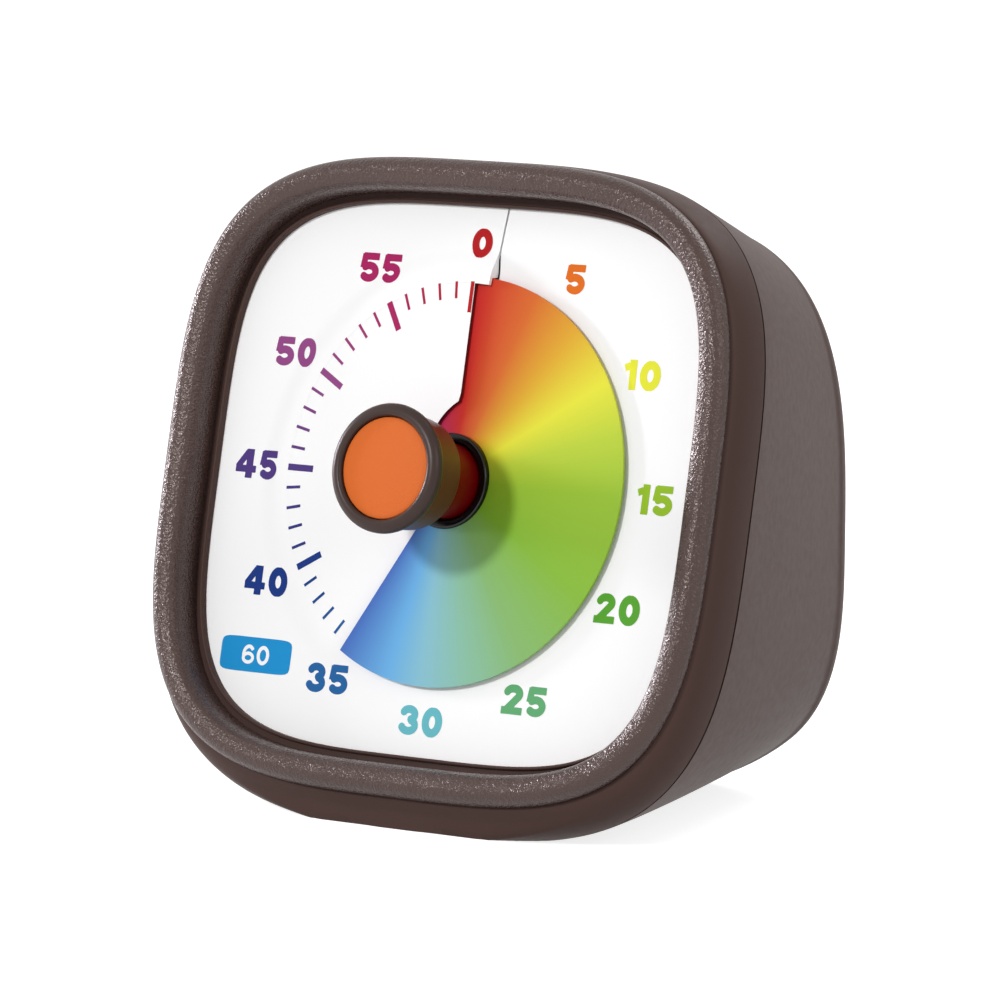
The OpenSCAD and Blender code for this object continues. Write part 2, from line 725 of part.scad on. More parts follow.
module quartz_can() {
    color("silver") translate([-7, board_y - board_t - 1, 54.4]) rotate([0, 90, 0])
        cylinder(r = 1, h = 6);
}

module buzzer() {
    color(dark) difference() {
        back_rod(buzzer_r, 0, buzzer_z, back_y - board_y - buzzer_h, back_y - board_y);
        back_rod(1.2, 0, buzzer_z, 0, back_y - board_y - buzzer_h + 1);
    }
}

module switch_body() {
    color("silver") difference() {
        back_block(4.5, switch_z - 2, switch_z + 2, wall, back_y - board_y);
        back_block(slide_travel + 1.6, switch_z - 1.2, switch_z + 1.2, 0, wall + 2.6);
    }
}

module volume_slider() {
    grip = 1.4;
    color(dark) difference() {
        back_block(grip, switch_z - 0.9, switch_z + 0.9, -0.8, wall + 2.4, -slide_travel);
        for (s = [-1 : 1]) back_block(0.15, switch_z - 2, switch_z + 2, -1, -0.45,
            s * 0.8 - slide_travel);
    }
}

front_frame();
bezel_ring();
dial_retainer();
dial_plate();
dial_backer();
rear_housing();
case_screws();
works_case_front();
works_case_rear();
works_screws();
centre_bush();
stator();
coil();
leaf_contact();
circuit_board();
board_screws();
chip();
quartz_can();
buzzer();
switch_body();
volume_slider();
battery_tray();
negative_spring();
positive_contact();
battery();
battery_door();
knob();
knob_cap();
knob_stem();
spindle_shaft();
clutch_spring();
alarm_cam();
rainbow_disc();
disc_hub();
rotor();
second_wheel();
third_wheel();
centre_wheel();
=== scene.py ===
"""Looks of the countdown timer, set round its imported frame.

Lengths are in millimetres until a mesh is made. Most of the timer is laid out in the dial's own
frame, (x, v, h): x to the right, v up the dial and h out of its face. Angles on the dial run
clockwise from the top, in degrees, so that a minute is six of them.
"""

import json
import math

import bmesh
import bpy
import numpy as np
from mathutils import Matrix, Vector


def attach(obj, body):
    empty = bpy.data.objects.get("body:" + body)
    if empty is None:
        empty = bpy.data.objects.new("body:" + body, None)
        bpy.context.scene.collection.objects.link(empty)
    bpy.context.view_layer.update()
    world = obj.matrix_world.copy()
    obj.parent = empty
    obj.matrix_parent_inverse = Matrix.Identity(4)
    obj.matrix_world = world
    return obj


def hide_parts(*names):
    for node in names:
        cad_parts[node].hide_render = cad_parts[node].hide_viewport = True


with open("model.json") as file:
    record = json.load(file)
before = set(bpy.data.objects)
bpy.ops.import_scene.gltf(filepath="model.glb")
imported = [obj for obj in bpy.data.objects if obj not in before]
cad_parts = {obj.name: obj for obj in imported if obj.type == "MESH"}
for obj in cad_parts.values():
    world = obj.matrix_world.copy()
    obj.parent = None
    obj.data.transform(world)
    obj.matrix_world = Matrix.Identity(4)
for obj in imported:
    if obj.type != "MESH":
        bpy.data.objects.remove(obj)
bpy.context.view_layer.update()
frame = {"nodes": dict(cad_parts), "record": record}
nodes = frame["nodes"]

# ---- Sizes ----

# A name ends in what it measures: W half a width, V half a height, TOP and LOW the reach up and
# down from the middle, R a radius, P the power of a squared ellipse, O a step in from the rim's
# edge, T a thickness, D a depth, and H a height off the dial or half a height on the back.

MM = 0.001
MERGE = 1e-6  # points of a mesh closer than this, in metres, are one
CREASE, NODE_CREASE = math.radians(38), math.radians(32)  # edges sharper than this stay hard

LEAN = math.radians(12.1)
DIAL_Y, DIAL_Z = -12.0, 42.1
WALL = 2.0
RIM_W, RIM_V, RIM_P = 41.4, 39.75, 3.5
RIM_SQUARER = 0.093  # added to the power for each millimetre in from the rim
RIM_T, RIM_H, GROOVE_H = 4.25, 5.6, 3.3
BAND_O = 0.35
SEAM_W, SEAM_TOP, SEAM_LOW, SEAM_D = 42.75, 40.25, 43.3, 2.4
REAR_W, REAR_TOP, REAR_LOW, REAR_D, REAR_P = 31.9, 38.6, 30.7, 40.5, 3.14
BACK_R = 5.0
SEAT = 0.15
FOOT_SINK, FOOT_SHARE = 1.0, 0.76  # the foot's depth past the base, its share of the width
TAPER = 1.05
BACK_Y = DIAL_Y + (REAR_D + BACK_R) * math.cos(LEAN)

INNER_O = WALL + 0.2
LEDGE_O, LEDGE_T = 6.8, 1.6
DIAL_O, DIAL_T, HOLE_R = 3.4, 0.5, 7.3
PITCH = 1.6  # climb of dial and disc in one turn
FLAT_IN, FLAT_OUT = 26.0, 29.5  # radii between which the dial flattens out
SLOT_AT, SLOT_TOP_R, SLOT_CUT, SLOT_LEFT = 5.56, 24.8, 0.12, 0.2
KNEE_R, FLARE = 10.0, 24.0  # where the slot starts to flare, and by how many degrees
DISC_R, DISC_T, DISC_TURN, DISC_GAP = 25.7, 0.35, 210.0, 0.5
HUB_R, STEM_R, SPINDLE_R = 6.0, 4.7, 1.5
KNOB_R, KNOB_REAR_R, KNOB_LOW, KNOB_TOP, BEAD_R = 8.05, 7.0, 8.0, 15.0, 1.1
CAP_R, CAP_D = 6.4, 1.6

CELL_Z, DOOR_W, DOOR_H, DOOR_T = 38.0, 27.2, 8.9, 1.2
CORNER = 1.8
OPEN_W, OPEN_H, OPEN_R = 26.3, 8.0, 0.5
SWITCH_Z, SWITCH_W, SWITCH_H, SWITCH_R = 49.9, 4.2, 1.3, 0.4
BUZZER_Z, SOUND_R = 60.2, 0.8
SOUND_RINGS = ((0, 1, 0), (3.2, 6, 0), (5.6, 6, 30))  # radius, holes and the first one's angle
WELL_R, WELL_FLOOR, BOSS_R = 2.6, -22.5, 3.5
SCREWS = ((-14, 26.3), (14, 26.3), (-14, -18.5), (14, -18.5))

AROUND = 320  # points round a housing section
PAST = 1  # how far a cutter reaches past what it cuts


# ---- From the dial's frame to the world, and from grids to meshes ----


def on_dial(x, v, h):
    """World points of dial points: the dial's face turned upright, leaned back and lifted."""
    x, v, h = np.broadcast_arrays(x, v, h)
    y = DIAL_Y + v * math.sin(LEAN) - h * math.cos(LEAN)
    z = DIAL_Z + v * math.cos(LEAN) + h * math.sin(LEAN)
    return np.stack([x, y, z], -1)


def mix(a, b, u):
    """From a to b as u goes from 0 to 1."""
    return a + (b - a) * u


def smoothstep(u):
    """0 to 1 with level ends: three u squared less two u cubed."""
    u = np.clip(u, 0, 1)
    return u * u * (3 - 2 * u)


def grid_faces(rows, cols, loop_rows=False, loop_cols=False, start=0):
    """Quads between neighbouring points of a grid numbered row by row, wrapped where it loops."""
    i, j = np.meshgrid(
        np.arange(rows if loop_rows else rows - 1),
        np.arange(cols if loop_cols else cols - 1),
        indexing="ij",
    )
    k, m = (i + 1) % rows, (j + 1) % cols
    quads = np.stack([i * cols + j, i * cols + m, k * cols + m, k * cols + j], -1)
    return (quads.reshape(-1, 4) + start).tolist()


def join(parts):
    """Points and faces of several shapes as those of one."""
    points, faces, base = [], [], 0
    for part_points, part_faces in parts:
        points.append(part_points)
        faces += [[base + k for k in face] for face in part_faces]
        base += len(part_points)
    return np.vstack(points), faces


def mesh_of(name, points, faces, closed=True):
    """A mesh from points in millimetres. A closed one is merged at its seams and poles, and its
    faces are turned outwards."""
    mesh = bpy.data.meshes.new(name)
    mesh.from_pydata((np.asarray(points).reshape(-1, 3) * MM).tolist(), [], faces)
    work = bmesh.new()
    work.from_mesh(mesh)
    if closed:
        bmesh.ops.remove_doubles(work, verts=work.verts, dist=MERGE)
        bmesh.ops.recalc_face_normals(work, faces=work.faces)
    work.to_mesh(mesh)
    work.free()
    return mesh


def stand(name, data):
    """A new object in the scene."""
    obj = bpy.data.objects.new(name, data)
    bpy.context.scene.collection.objects.link(obj)
    return obj


def piece(name, points, faces, body, slot, replaces=(), made=None, closed=True):
    """A piece on a body, smooth except at its edges, in its slot's finish or in another."""
    obj = stand(name, mesh_of(name, points, faces, closed))
    obj.data.materials.append(made or finish[slot])
    shade(obj)
    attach(obj, body)
    if replaces:
        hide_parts(*replaces)
    return obj


def shade(obj):
    """Smooth shading with hard edges at the crease angle."""
    obj.data.shade_smooth()
    obj.data.set_sharp_from_angle(angle=CREASE)


def skin(rows, loop=True):
    """Points and faces of a solid through closed rows of points. A loop of rows closes on
    itself, and otherwise each end is closed by a fan round its middle."""
    rows = np.asarray(rows)
    count, around = rows.shape[:2]
    faces = grid_faces(count, around, loop, True)
    points = rows.reshape(-1, 3)
    if loop:
        return points, faces
    turn = np.arange(around)
    onward = (turn + 1) % around
    last = (count - 1) * around
    points = np.vstack([points, rows[0].mean(0), rows[-1].mean(0)])
    hub = np.full(around, count * around)
    faces += np.stack([onward, turn, hub], -1).tolist()
    faces += np.stack([last + turn, last + onward, hub + 1], -1).tolist()
    return points, faces


def strip(rows):
    """Points and faces of a sheet's solid. The rows run out over the face and back under it,
    open at both ends, and each end is closed by quads from a face row to the one below it."""
    rows = np.asarray(rows)
    count, along = rows.shape[:2]
    faces = grid_faces(count, along, True, False)
    j = np.arange(count // 2 - 1)
    under = count - 1 - j
    for end in (0, along - 1):
        quads = np.stack([j, j + 1, under - 1, under], -1) * along + end
        faces += quads.tolist()
    return rows.reshape(-1, 3), faces


def revolve(profile, steps=144):
    """Points and faces of a profile of (radius, height) turned round the dial's axis."""
    profile = np.asarray(profile, float)
    a = np.linspace(0, 2 * np.pi, steps, endpoint=False)
    r, h = profile[:, :1], profile[:, 1:]
    points = on_dial(r * np.cos(a), r * np.sin(a), h)
    return points.reshape(-1, 3), grid_faces(len(profile), steps, False, True)


def arc(r0, h0, radius, a0, a1, count=8):
    """Points of a circular arc about (r0, h0) for a profile, angles in degrees."""
    a = np.radians(np.linspace(a0, a1, count))
    return np.stack([r0 + radius * np.cos(a), h0 + radius * np.sin(a)], -1)


def carve(obj, points, faces):
    """Cuts a closed solid, given in millimetres, out of a piece."""
    tool = stand("cutter", mesh_of("cutter", points, faces))
    change = obj.modifiers.new("cut", "BOOLEAN")
    change.operation, change.solver, change.object = "DIFFERENCE", "EXACT", tool
    view = bpy.context.evaluated_depsgraph_get()
    cut = bpy.data.meshes.new_from_object(obj.evaluated_get(view))
    obj.modifiers.clear()
    obj.data = cut
    bpy.data.objects.remove(tool)
    shade(obj)


def slab_ring(x, w, z0, z1, depth, r, inset=0.0):
    """Outline of a rounded rectangle on the back, centred on x with half width w, at a depth in
    front of the back's face. Its corners have radius r, and it is moved inwards by inset."""
    corner = np.radians(np.arange(0, 360, 90)[:, None] + np.linspace(0, 90, 8))
    side_x, side_z = np.sign(np.cos(corner).mean(1)), np.sign(np.sin(corner).mean(1))
    mid_z, half_z = (z0 + z1) / 2, (z1 - z0) / 2
    px = x + side_x[:, None] * (w - r) + (r - inset) * np.cos(corner)
    pz = mid_z + side_z[:, None] * (half_z - r) + (r - inset) * np.sin(corner)
    if r == 0:
        px, pz = x + side_x * (w - inset), mid_z + side_z * (half_z - inset)
    px = px.ravel()
    return np.stack([px, np.full(px.size, BACK_Y - depth), pz.ravel()], -1)


def block(x, w, z0, z1, y0, y1, r=0.0):
    """Upright slab on the back from depth y0 to y1 in front of the back's face."""
    return skin([slab_ring(x, w, z0, z1, y, r) for y in (y0, y1)], loop=False)


def circle(r, x, y, steps):
    """Points round a circle about (x, y), as two arrays."""
    a = np.linspace(0, 2 * np.pi, steps, endpoint=False)
    return x + r * np.cos(a), y + r * np.sin(a)


def back_rod(r, x, z, y0, y1):
    """Round bar along Y between two depths in front of the back's face."""
    px, pz = circle(r, x, z, 24)
    ends = [np.stack([px, np.full(px.size, BACK_Y - y), pz], -1) for y in (y0, y1)]
    return skin(ends, loop=False)


def dial_rod(r, at, h0, h1):
    """Round bar along the dial's axis direction, at a place on the dial."""
    x, v = circle(r, *at, 40)
    return skin([on_dial(x, v, h) for h in (h0, h1)], loop=False)


# ---- Housing sections, the same rules as in the construction ----


def squared_r(a, w, top, low, p):
    """Radius of a squared ellipse in direction a, with upper and lower halves of their own."""
    half = np.where(np.sin(a) > 0, top, low)
    return (np.abs(np.cos(a) / w) ** p + np.abs(np.sin(a) / half) ** p) ** (-1 / p)


def base_v(d):
    """The v at which depth d behind the dial meets the surface that the timer stands on."""
    return (d * math.sin(LEAN) - DIAL_Z) / math.cos(LEAN)


def bed_v(d, turn, lift):
    """Lowest v of a section at depth d whose plane is tilted by turn, lift above the base."""
    return (base_v(d) + lift / math.cos(LEAN)) / (1 + math.tan(LEAN) * math.tan(turn))


def foot_drop(low, d, turn):
    """How far an underside at low has to swell to pass the base by FOOT_SINK."""
    return max(0.0, FOOT_SINK - bed_v(d, turn, 0) - low)


def ring(w, top, low, p, d, turn=0.0, drop=0.0, bed=-100.0):
    """A section: a squared ellipse whose underside swells down by drop towards the middle, cut
    flat at the level bed and tilted by turn about the dial's x."""
    a = np.linspace(0, 2 * np.pi, AROUND, endpoint=False)
    r = squared_r(a, w, top, low, p)
    x, v = r * np.cos(a), r * np.sin(a)
    swell = drop * np.maximum(0, 1 - (x / (FOOT_SHARE * w)) ** 2) ** 2
    v = np.maximum(bed, v - np.where(np.sin(a) < 0, swell, 0))
    return on_dial(x, v, v * math.tan(turn) - d)


def rim_ring(o, h):
    """Section of the rim a step o in from its edge, at height h off the dial."""
    return ring(RIM_W - o, RIM_V - o, RIM_V - o, RIM_P + RIM_SQUARER * o, -h)


def body_ring(u, o=0.0):
    """Section a share u of the way from the seam to the rear, moved inwards by o."""
    e = u**TAPER
    d, turn = mix(SEAM_D, REAR_D, u), LEAN * u
    low = mix(SEAM_LOW, REAR_LOW, e)
    drop, bed = foot_drop(low, d, turn), bed_v(d, turn, o)
    w, top = mix(SEAM_W, REAR_W, e), mix(SEAM_TOP, REAR_TOP, e)
    return ring(w - o, top - o, low - o, mix(RIM_P, REAR_P, u), d, turn, drop, bed)


def back_ring(a, o=0.0):
    """Rounding from the rear section to the back: a is 0 at the side and 90 on the back."""
    r = BACK_R - o
    inward = o + r * (1 - math.cos(math.radians(a)))
    d = REAR_D + r * math.sin(math.radians(a))
    drop, bed = foot_drop(REAR_LOW, REAR_D, LEAN), bed_v(d, LEAN, o)
    w, top, low = REAR_W - inward, REAR_TOP - inward, REAR_LOW - inward
    return ring(w, top, low, REAR_P, d, LEAN, drop, bed)


def band_ring(u):
    """Band of the front frame: a quarter ellipse from the groove, u 0, to the seam, u 1."""
    foot_from, foot_whole = 0.12, 0.25  # shares of the band between which the foot grows
    e = math.sqrt(1 - (1 - u) ** 2)
    d = mix(-GROOVE_H, SEAM_D - SEAT, u)
    low = mix(RIM_V - BAND_O, SEAM_LOW, e)
    grown = float(np.clip((u - foot_from) / (foot_whole - foot_from), 0, 1))
    w, top = mix(RIM_W - BAND_O, SEAM_W, e), mix(RIM_V - BAND_O, SEAM_TOP, e)
    return ring(w, top, low, RIM_P, d, 0, foot_drop(low, d, 0) * grown, bed_v(d, 0, 0))


# ---- Finishes ----

# Pattern scales, in cells per metre
PATCHES, GRAIN_PATCHES = 45, 60
GLOSS_CLOUDS, GRAIN_GLOSS = 900, 1400
SPARK_SKIN, INK_SKIN, DISC_SKIN, SCRATCHES = 5200, 4000, 3500, 3000
# Heights of fine relief, in metres
SPARK_H, SCRATCH_H, DISC_H, FAINT_H = 0.000006, 0.000004, 0.000003, 0.000002


def finish_nodes(name, color, roughness, **sockets):
    """A new material and its shader, with even values set on the shader's own sockets."""
    made = bpy.data.materials.new(name)
    made.use_nodes = True
    shader = made.node_tree.nodes["Principled BSDF"]
    shader.inputs["Base Color"].default_value = (*color, 1)
    shader.inputs["Roughness"].default_value = roughness
    for socket, value in sockets.items():
        shader.inputs[socket.replace("_", " ")].default_value = value
    made.diffuse_color = (*color, 1)
    return made, shader


def add(made, kind, inputs=None, **settings):
    """A node in a material. Inputs are values or sockets of other nodes."""
    tree = made.node_tree
    node = tree.nodes.new(kind)
    for key, value in settings.items():
        setattr(node, key, value)
    for key, value in (inputs or {}).items():
        if isinstance(value, bpy.types.NodeSocket):
            tree.links.new(value, node.inputs[key])
        else:
            node.inputs[key].default_value = value
    return node


def connect(made, source, target):
    made.node_tree.links.new(source, target)


def object_place(made):
    return add(made, "ShaderNodeTexCoord").outputs["Object"]


def noise(made, scale, detail=3.0, rough=0.55, place=None):
    """Cloudy 0 to 1 pattern over the piece's own coordinates or another place."""
    place = place or object_place(made)
    inputs = {"Vector": place, "Scale": scale, "Detail": detail, "Roughness": rough}
    return add(made, "ShaderNodeTexNoise", inputs).outputs["Fac"]


def cells(made, scale):
    """Distance to the nearest of many scattered points, in cell widths."""
    inputs = {"Vector": object_place(made), "Scale": scale}
    return add(made, "ShaderNodeTexVoronoi", inputs).outputs["Distance"]


def spread(made, source, low, high):
    """Rescales a 0 to 1 pattern, narrowed about its middle, to low to high."""
    inputs = {"Value": source, "From Min": 0.3, "From Max": 0.7, "To Min": low, "To Max": high}
    return add(made, "ShaderNodeMapRange", inputs).outputs["Result"]


def bump(made, shader, height, distance, normal=None):
    """Relief from a pattern, on top of an earlier relief where there is one."""
    inputs = {"Height": height, "Distance": distance}
    if normal is not None:
        inputs["Normal"] = normal
    out = add(made, "ShaderNodeBump", inputs).outputs["Normal"]
    connect(made, out, shader.inputs["Normal"])
    return out


def two_colors(made, shader, share, first, second):
    """Colours the surface from first to second as share goes from 0 to 1."""
    blend = add(made, "ShaderNodeMix", None, data_type="RGBA")
    ends = [s for s in blend.inputs if s.type == "RGBA"]
    ends[0].default_value, ends[1].default_value = (*first, 1), (*second, 1)
    connect(made, share, blend.inputs[0])
    out = next(s for s in blend.outputs if s.type == "RGBA")
    connect(made, out, shader.inputs["Base Color"])


def vary(made, shader, color, amount, scale):
    """Tints the colour lighter and darker by a share, in soft patches."""
    light = [min(1, c * (1 + amount)) for c in color]
    dark = [c * (1 - amount) for c in color]
    two_colors(made, shader, spread(made, noise(made, scale), 0, 1), dark, light)


def vary_gloss(made, shader, pattern, low, high):
    """Lets the roughness wander between two values."""
    connect(made, spread(made, pattern, low, high), shader.inputs["Roughness"])


def smooth_plastic(name, color, roughness, tint=0.06, shine=0.5):
    """Moulded plastic: faint colour patches, uneven gloss and a fine spark-eroded skin."""
    made, shader = finish_nodes(name, color, roughness, Specular_IOR_Level=shine)
    vary(made, shader, color, tint, PATCHES)
    vary_gloss(made, shader, noise(made, GLOSS_CLOUDS), roughness - 0.03, roughness + 0.03)
    bump(made, shader, noise(made, SPARK_SKIN, 2), SPARK_H)
    return made


def grained_plastic(name, color, roughness, pebble, depth, tint=0.08, **sockets):
    """Moulded grain: rounded pebbles of about the given size with finer roughness on them."""
    made, shader = finish_nodes(name, color, roughness, **sockets)
    vary(made, shader, color, tint, GRAIN_PATCHES)
    vary_gloss(made, shader, noise(made, GRAIN_GLOSS), roughness - 0.08, roughness + 0.1)
    coarse = bump(made, shader, noise(made, 1 / pebble, 1.5), depth)
    bump(made, shader, cells(made, 1.4 / pebble), depth * 0.35, coarse)
    return made


def metal(name, color, roughness, streak=(1, 1, 1)):
    """Metal with fine scratches, drawn out along the directions where streak is small."""
    made, shader = finish_nodes(name, color, roughness, Metallic=1.0)
    drawn = add(made, "ShaderNodeMapping", {"Vector": object_place(made), "Scale": streak})
    lines = noise(made, SCRATCHES, rough=0.5, place=drawn.outputs["Vector"])
    vary_gloss(made, shader, lines, roughness - 0.08, roughness + 0.1)
    bump(made, shader, lines, SCRATCH_H)
    return made


def two_tone(name, color, second, roughness, shine=0.5):
    """Plastic with a second colour painted on the faces that the piece's own attribute marks:
    painted shade on the dial's slot walls, a painted red reflection on the knob's body.
    """
    made, shader = finish_nodes(name, color, roughness, Specular_IOR_Level=shine)
    mark = add(made, "ShaderNodeAttribute", None, attribute_name="second")
    two_colors(made, shader, mark.outputs["Fac"], color, second)
    bump(made, shader, noise(made, SPARK_SKIN, 2), FAINT_H)
    return made


def ink(name):
    """Printed ink: the piece's own colour attribute, with a slight sheen and uneven film."""
    made, shader = finish_nodes(name, (0.5, 0.5, 0.5), 0.6, Specular_IOR_Level=0.12)
    source = add(made, "ShaderNodeAttribute", None, attribute_name="ink")
    connect(made, source.outputs["Color"], shader.inputs["Base Color"])
    bump(made, shader, noise(made, INK_SKIN, 2), FAINT_H)
    return made


def rainbow(name, stops):
    """Conical gradient printed on the disc: a colour for each minute that the disc covers,
    read from the piece's own minute attribute."""
    made, shader = finish_nodes(name, (0.8, 0.6, 0.3), 0.5, Specular_IOR_Level=0.25)
    source = add(made, "ShaderNodeAttribute", None, attribute_name="minute")
    first, last = stops[0][0], stops[-1][0]
    inputs = {"Value": source.outputs["Fac"], "From Min": first, "From Max": last}
    share = add(made, "ShaderNodeMapRange", inputs).outputs["Result"]
    ramp = add(made, "ShaderNodeValToRGB", {"Fac": share})
    colors = ramp.color_ramp.elements
    colors.remove(colors[1])
    colors[0].position, colors[0].color = 0, (*linear(stops[0][1]), 1)
    for minute, color in stops[1:]:
        colors.new((minute - first) / (last - first)).color = (*linear(color), 1)
    connect(made, ramp.outputs["Color"], shader.inputs["Base Color"])
    bump(made, shader, noise(made, DISC_SKIN, 2), DISC_H)
    return made


def linear(color):
    """Scene-linear values of a display colour given from 0 to 255."""
    c = np.asarray(color, float) / 255
    return tuple(np.where(c <= 0.04045, c / 12.92, ((c + 0.055) / 1.055) ** 2.4).tolist())


BROWN = (0.064, 0.035, 0.029)
PAPER = (0.96, 0.96, 0.96)
INKS = {  # display colour of each printed number
    0: (178, 22, 26),
    5: (222, 108, 22),
    10: (229, 230, 55),
    15: (148, 190, 42),
    20: (86, 162, 47),
    25: (97, 170, 114),
    30: (103, 186, 197),
    35: (36, 99, 160),
    40: (24, 54, 128),
    45: (79, 58, 126),
    50: (147, 72, 133),
    55: (167, 33, 94),
}
DISC_COLORS = [  # display colour at each minute
    (-25, (58, 98, 178)),
    (-20, (26, 54, 140)),
    (-15, (78, 58, 140)),
    (-10, (145, 70, 140)),
    (-5, (178, 33, 94)),
    (0.5, (198, 28, 10)),
    (3.5, (208, 98, 20)),
    (6.5, (218, 164, 30)),
    (9.5, (226, 224, 52)),
    (12, (184, 206, 52)),
    (15, (148, 188, 44)),
    (20, (128, 179, 46)),
    (24.5, (129, 179, 106)),
    (27.5, (132, 186, 160)),
    (30, (130, 187, 202)),
    (32, (99, 170, 222)),
    (35, (60, 101, 182)),
]

finish = {
    "housing": smooth_plastic("housing_plastic", BROWN, 0.5, tint=0.03, shine=0.14),
    "rim": grained_plastic(
        "rim_grain", (0.056, 0.032, 0.027), 0.3, 0.00042, 0.00012,
        Specular_IOR_Level=0.5, Specular_Tint=(1.0, 0.87, 0.84, 1),
    ),
    "dark_trim": smooth_plastic("trim_plastic", (0.035, 0.024, 0.021), 0.4),
    # the dial's dark red second colour is painted shade on the cut walls of the slot
    "dial": two_tone("dial_sheet", PAPER, (0.09, 0.006, 0.006), 0.5),
    "inner_plastic": smooth_plastic("inner_plastic", (0.09, 0.09, 0.1), 0.55),
    "screw_steel": metal("zinc_screw", (0.62, 0.62, 0.65), 0.32),
    "works_plastic": smooth_plastic("works_plastic", (0.68, 0.68, 0.62), 0.5),
    "brass": metal("turned_brass", (0.72, 0.5, 0.2), 0.3, (1, 0.05, 1)),
    "spring_steel": metal("nickel_steel", (0.66, 0.66, 0.68), 0.28),
    "copper": metal("copper_winding", (0.6, 0.24, 0.1), 0.35, (0.05, 1, 1)),
    "board": smooth_plastic("board_mask", (0.02, 0.14, 0.05), 0.35),
    "cell": smooth_plastic("cell_wrap", (0.03, 0.05, 0.08), 0.3),
    # the knob's redder second colour is a painted reflection of the red stem on the body below
    # the bead
    "knob_brown": two_tone(
        "knob_plastic", (0.045, 0.026, 0.022), (0.095, 0.018, 0.014), 0.34, 0.22
    ),
    "knob_orange": grained_plastic(
        "knob_face", (0.68, 0.14, 0.02), 0.5, 0.0003, 0.00003, 0.03, Specular_IOR_Level=0.18
    ),
    "stem_red": smooth_plastic("stem_red", (0.16, 0.0, 0.001), 0.35, shine=0.2),
    "disc": rainbow("disc_print", DISC_COLORS),
    "hub_black": smooth_plastic("hub_gloss", (0.002, 0.002, 0.002), 0.14, shine=0.35),
    "magnet": smooth_plastic("ferrite", (0.05, 0.05, 0.055), 0.6),
    "gear_plastic": smooth_plastic("acetal", (0.75, 0.75, 0.68), 0.4),
}
print_ink = ink("dial_ink")

# ---- Housing ----


def make_front_frame():
    """The band from the groove round to the seam, its inside, and the ledge under the dial."""
    tongue, shelf = 0.09, 1.4  # the tongue's reach as a share of the body, the shelf's step in
    under = -(DIAL_T + LEDGE_T)
    rows = [rim_ring(BAND_O, GROOVE_H - SEAT)]
    rows += [band_ring(u) for u in np.linspace(0.02, 1, 26) ** 1.3]
    rows += [body_ring(0, WALL + SEAT), body_ring(tongue, WALL + SEAT)]
    rows += [body_ring(tongue, WALL + shelf), rim_ring(INNER_O + shelf, under)]
    rows += [rim_ring(LEDGE_O, under), rim_ring(LEDGE_O, -DIAL_T)]
    rows += [rim_ring(INNER_O, -DIAL_T), rim_ring(INNER_O, GROOVE_H - SEAT)]
    piece("front_band", *skin(rows), "housing", "housing", ["front_frame"])


def make_bezel():
    """The rim: a slope down to the dial, a rounded crown and a skirt into the groove."""
    soft, toe_h = 1.9, 0.5
    slope_w, slope_h, edge_o = 1.6, 2.3, RIM_T - 0.15
    skirt_o, skirt_low = 0.1, GROOVE_H - 0.05
    down = np.radians(np.linspace(0, 60, 12))
    over = np.radians(np.linspace(90, 0, 20))
    profile = [(INNER_O + skirt_o, toe_h), (edge_o, toe_h)]
    profile += zip(edge_o - slope_w * (1 - np.cos(down)), RIM_H - slope_h * (1 - np.sin(down)))
    profile += zip(soft * (1 - np.cos(over)), RIM_H - soft * (1 - np.sin(over)))
    profile += [(skirt_o, GROOVE_H), (INNER_O + skirt_o, skirt_low)]
    rows = [rim_ring(o, h) for o, h in profile]
    piece("rim_ring", *skin(rows), "housing", "rim", ["bezel_ring"])


def make_retainer():
    """The thin lip that holds the dial sheet down, with a rounded crest."""
    inside, outside, heel_h, top, crest_h = 5.35, 4.9, 0.5, 1.0, 0.2
    middle, half = (inside + outside) / 2, (inside - outside) / 2
    crest = np.radians(np.linspace(0, 180, 9))
    profile = [(inside, 0.0)]
    profile += zip(middle + half * np.cos(crest), top - crest_h * (1 - np.sin(crest)))
    profile += [(outside, heel_h), (DIAL_O, heel_h), (DIAL_O, 0.0)]
    rows = [rim_ring(o, h) for o, h in profile]
    housing = finish["housing"]
    piece("dial_lip", *skin(rows), "housing", "dark_trim", ["dial_retainer"], housing)


def make_rear_housing():
    """The rear shell from the seam over the rounded back edge, with its wall, screw wells,
    battery opening, slide slot and sound holes."""
    shares = np.linspace(0, 1, 34)
    shares[0] = 0.006  # keeps the seam a hair open
    outer = [body_ring(u) for u in shares] + [back_ring(a) for a in np.linspace(5, 90, 18)]
    inner = [back_ring(a, WALL) for a in np.linspace(90, 20, 5)]
    inner += [body_ring(u, WALL) for u in shares[::-3]]
    solid = skin(inner + outer, loop=False)
    shell = piece("rear_shell", *solid, "housing", "housing", ["rear_housing"])
    through = (-PAST, WALL + PAST)
    cuts = [block(0, OPEN_W, CELL_Z - OPEN_H, CELL_Z + OPEN_H, *through, OPEN_R)]
    cuts += [block(0, DOOR_W, CELL_Z - DOOR_H, CELL_Z + DOOR_H, -PAST, DOOR_T, CORNER)]
    cuts += [block(0, SWITCH_W, SWITCH_Z - SWITCH_H, SWITCH_Z + SWITCH_H, *through, SWITCH_R)]
    for radius, count, first in SOUND_RINGS:
        for k in range(count):
            a = math.radians(first + 60 * k)
            x, z = radius * math.cos(a), BUZZER_Z + radius * math.sin(a)
            cuts.append(back_rod(SOUND_R, x, z, *through))
    behind = -(REAR_D + 20)
    cuts += [dial_rod(WELL_R, at, behind, WELL_FLOOR) for at in SCREWS]
    for points, faces in cuts:
        carve(shell, points, faces)


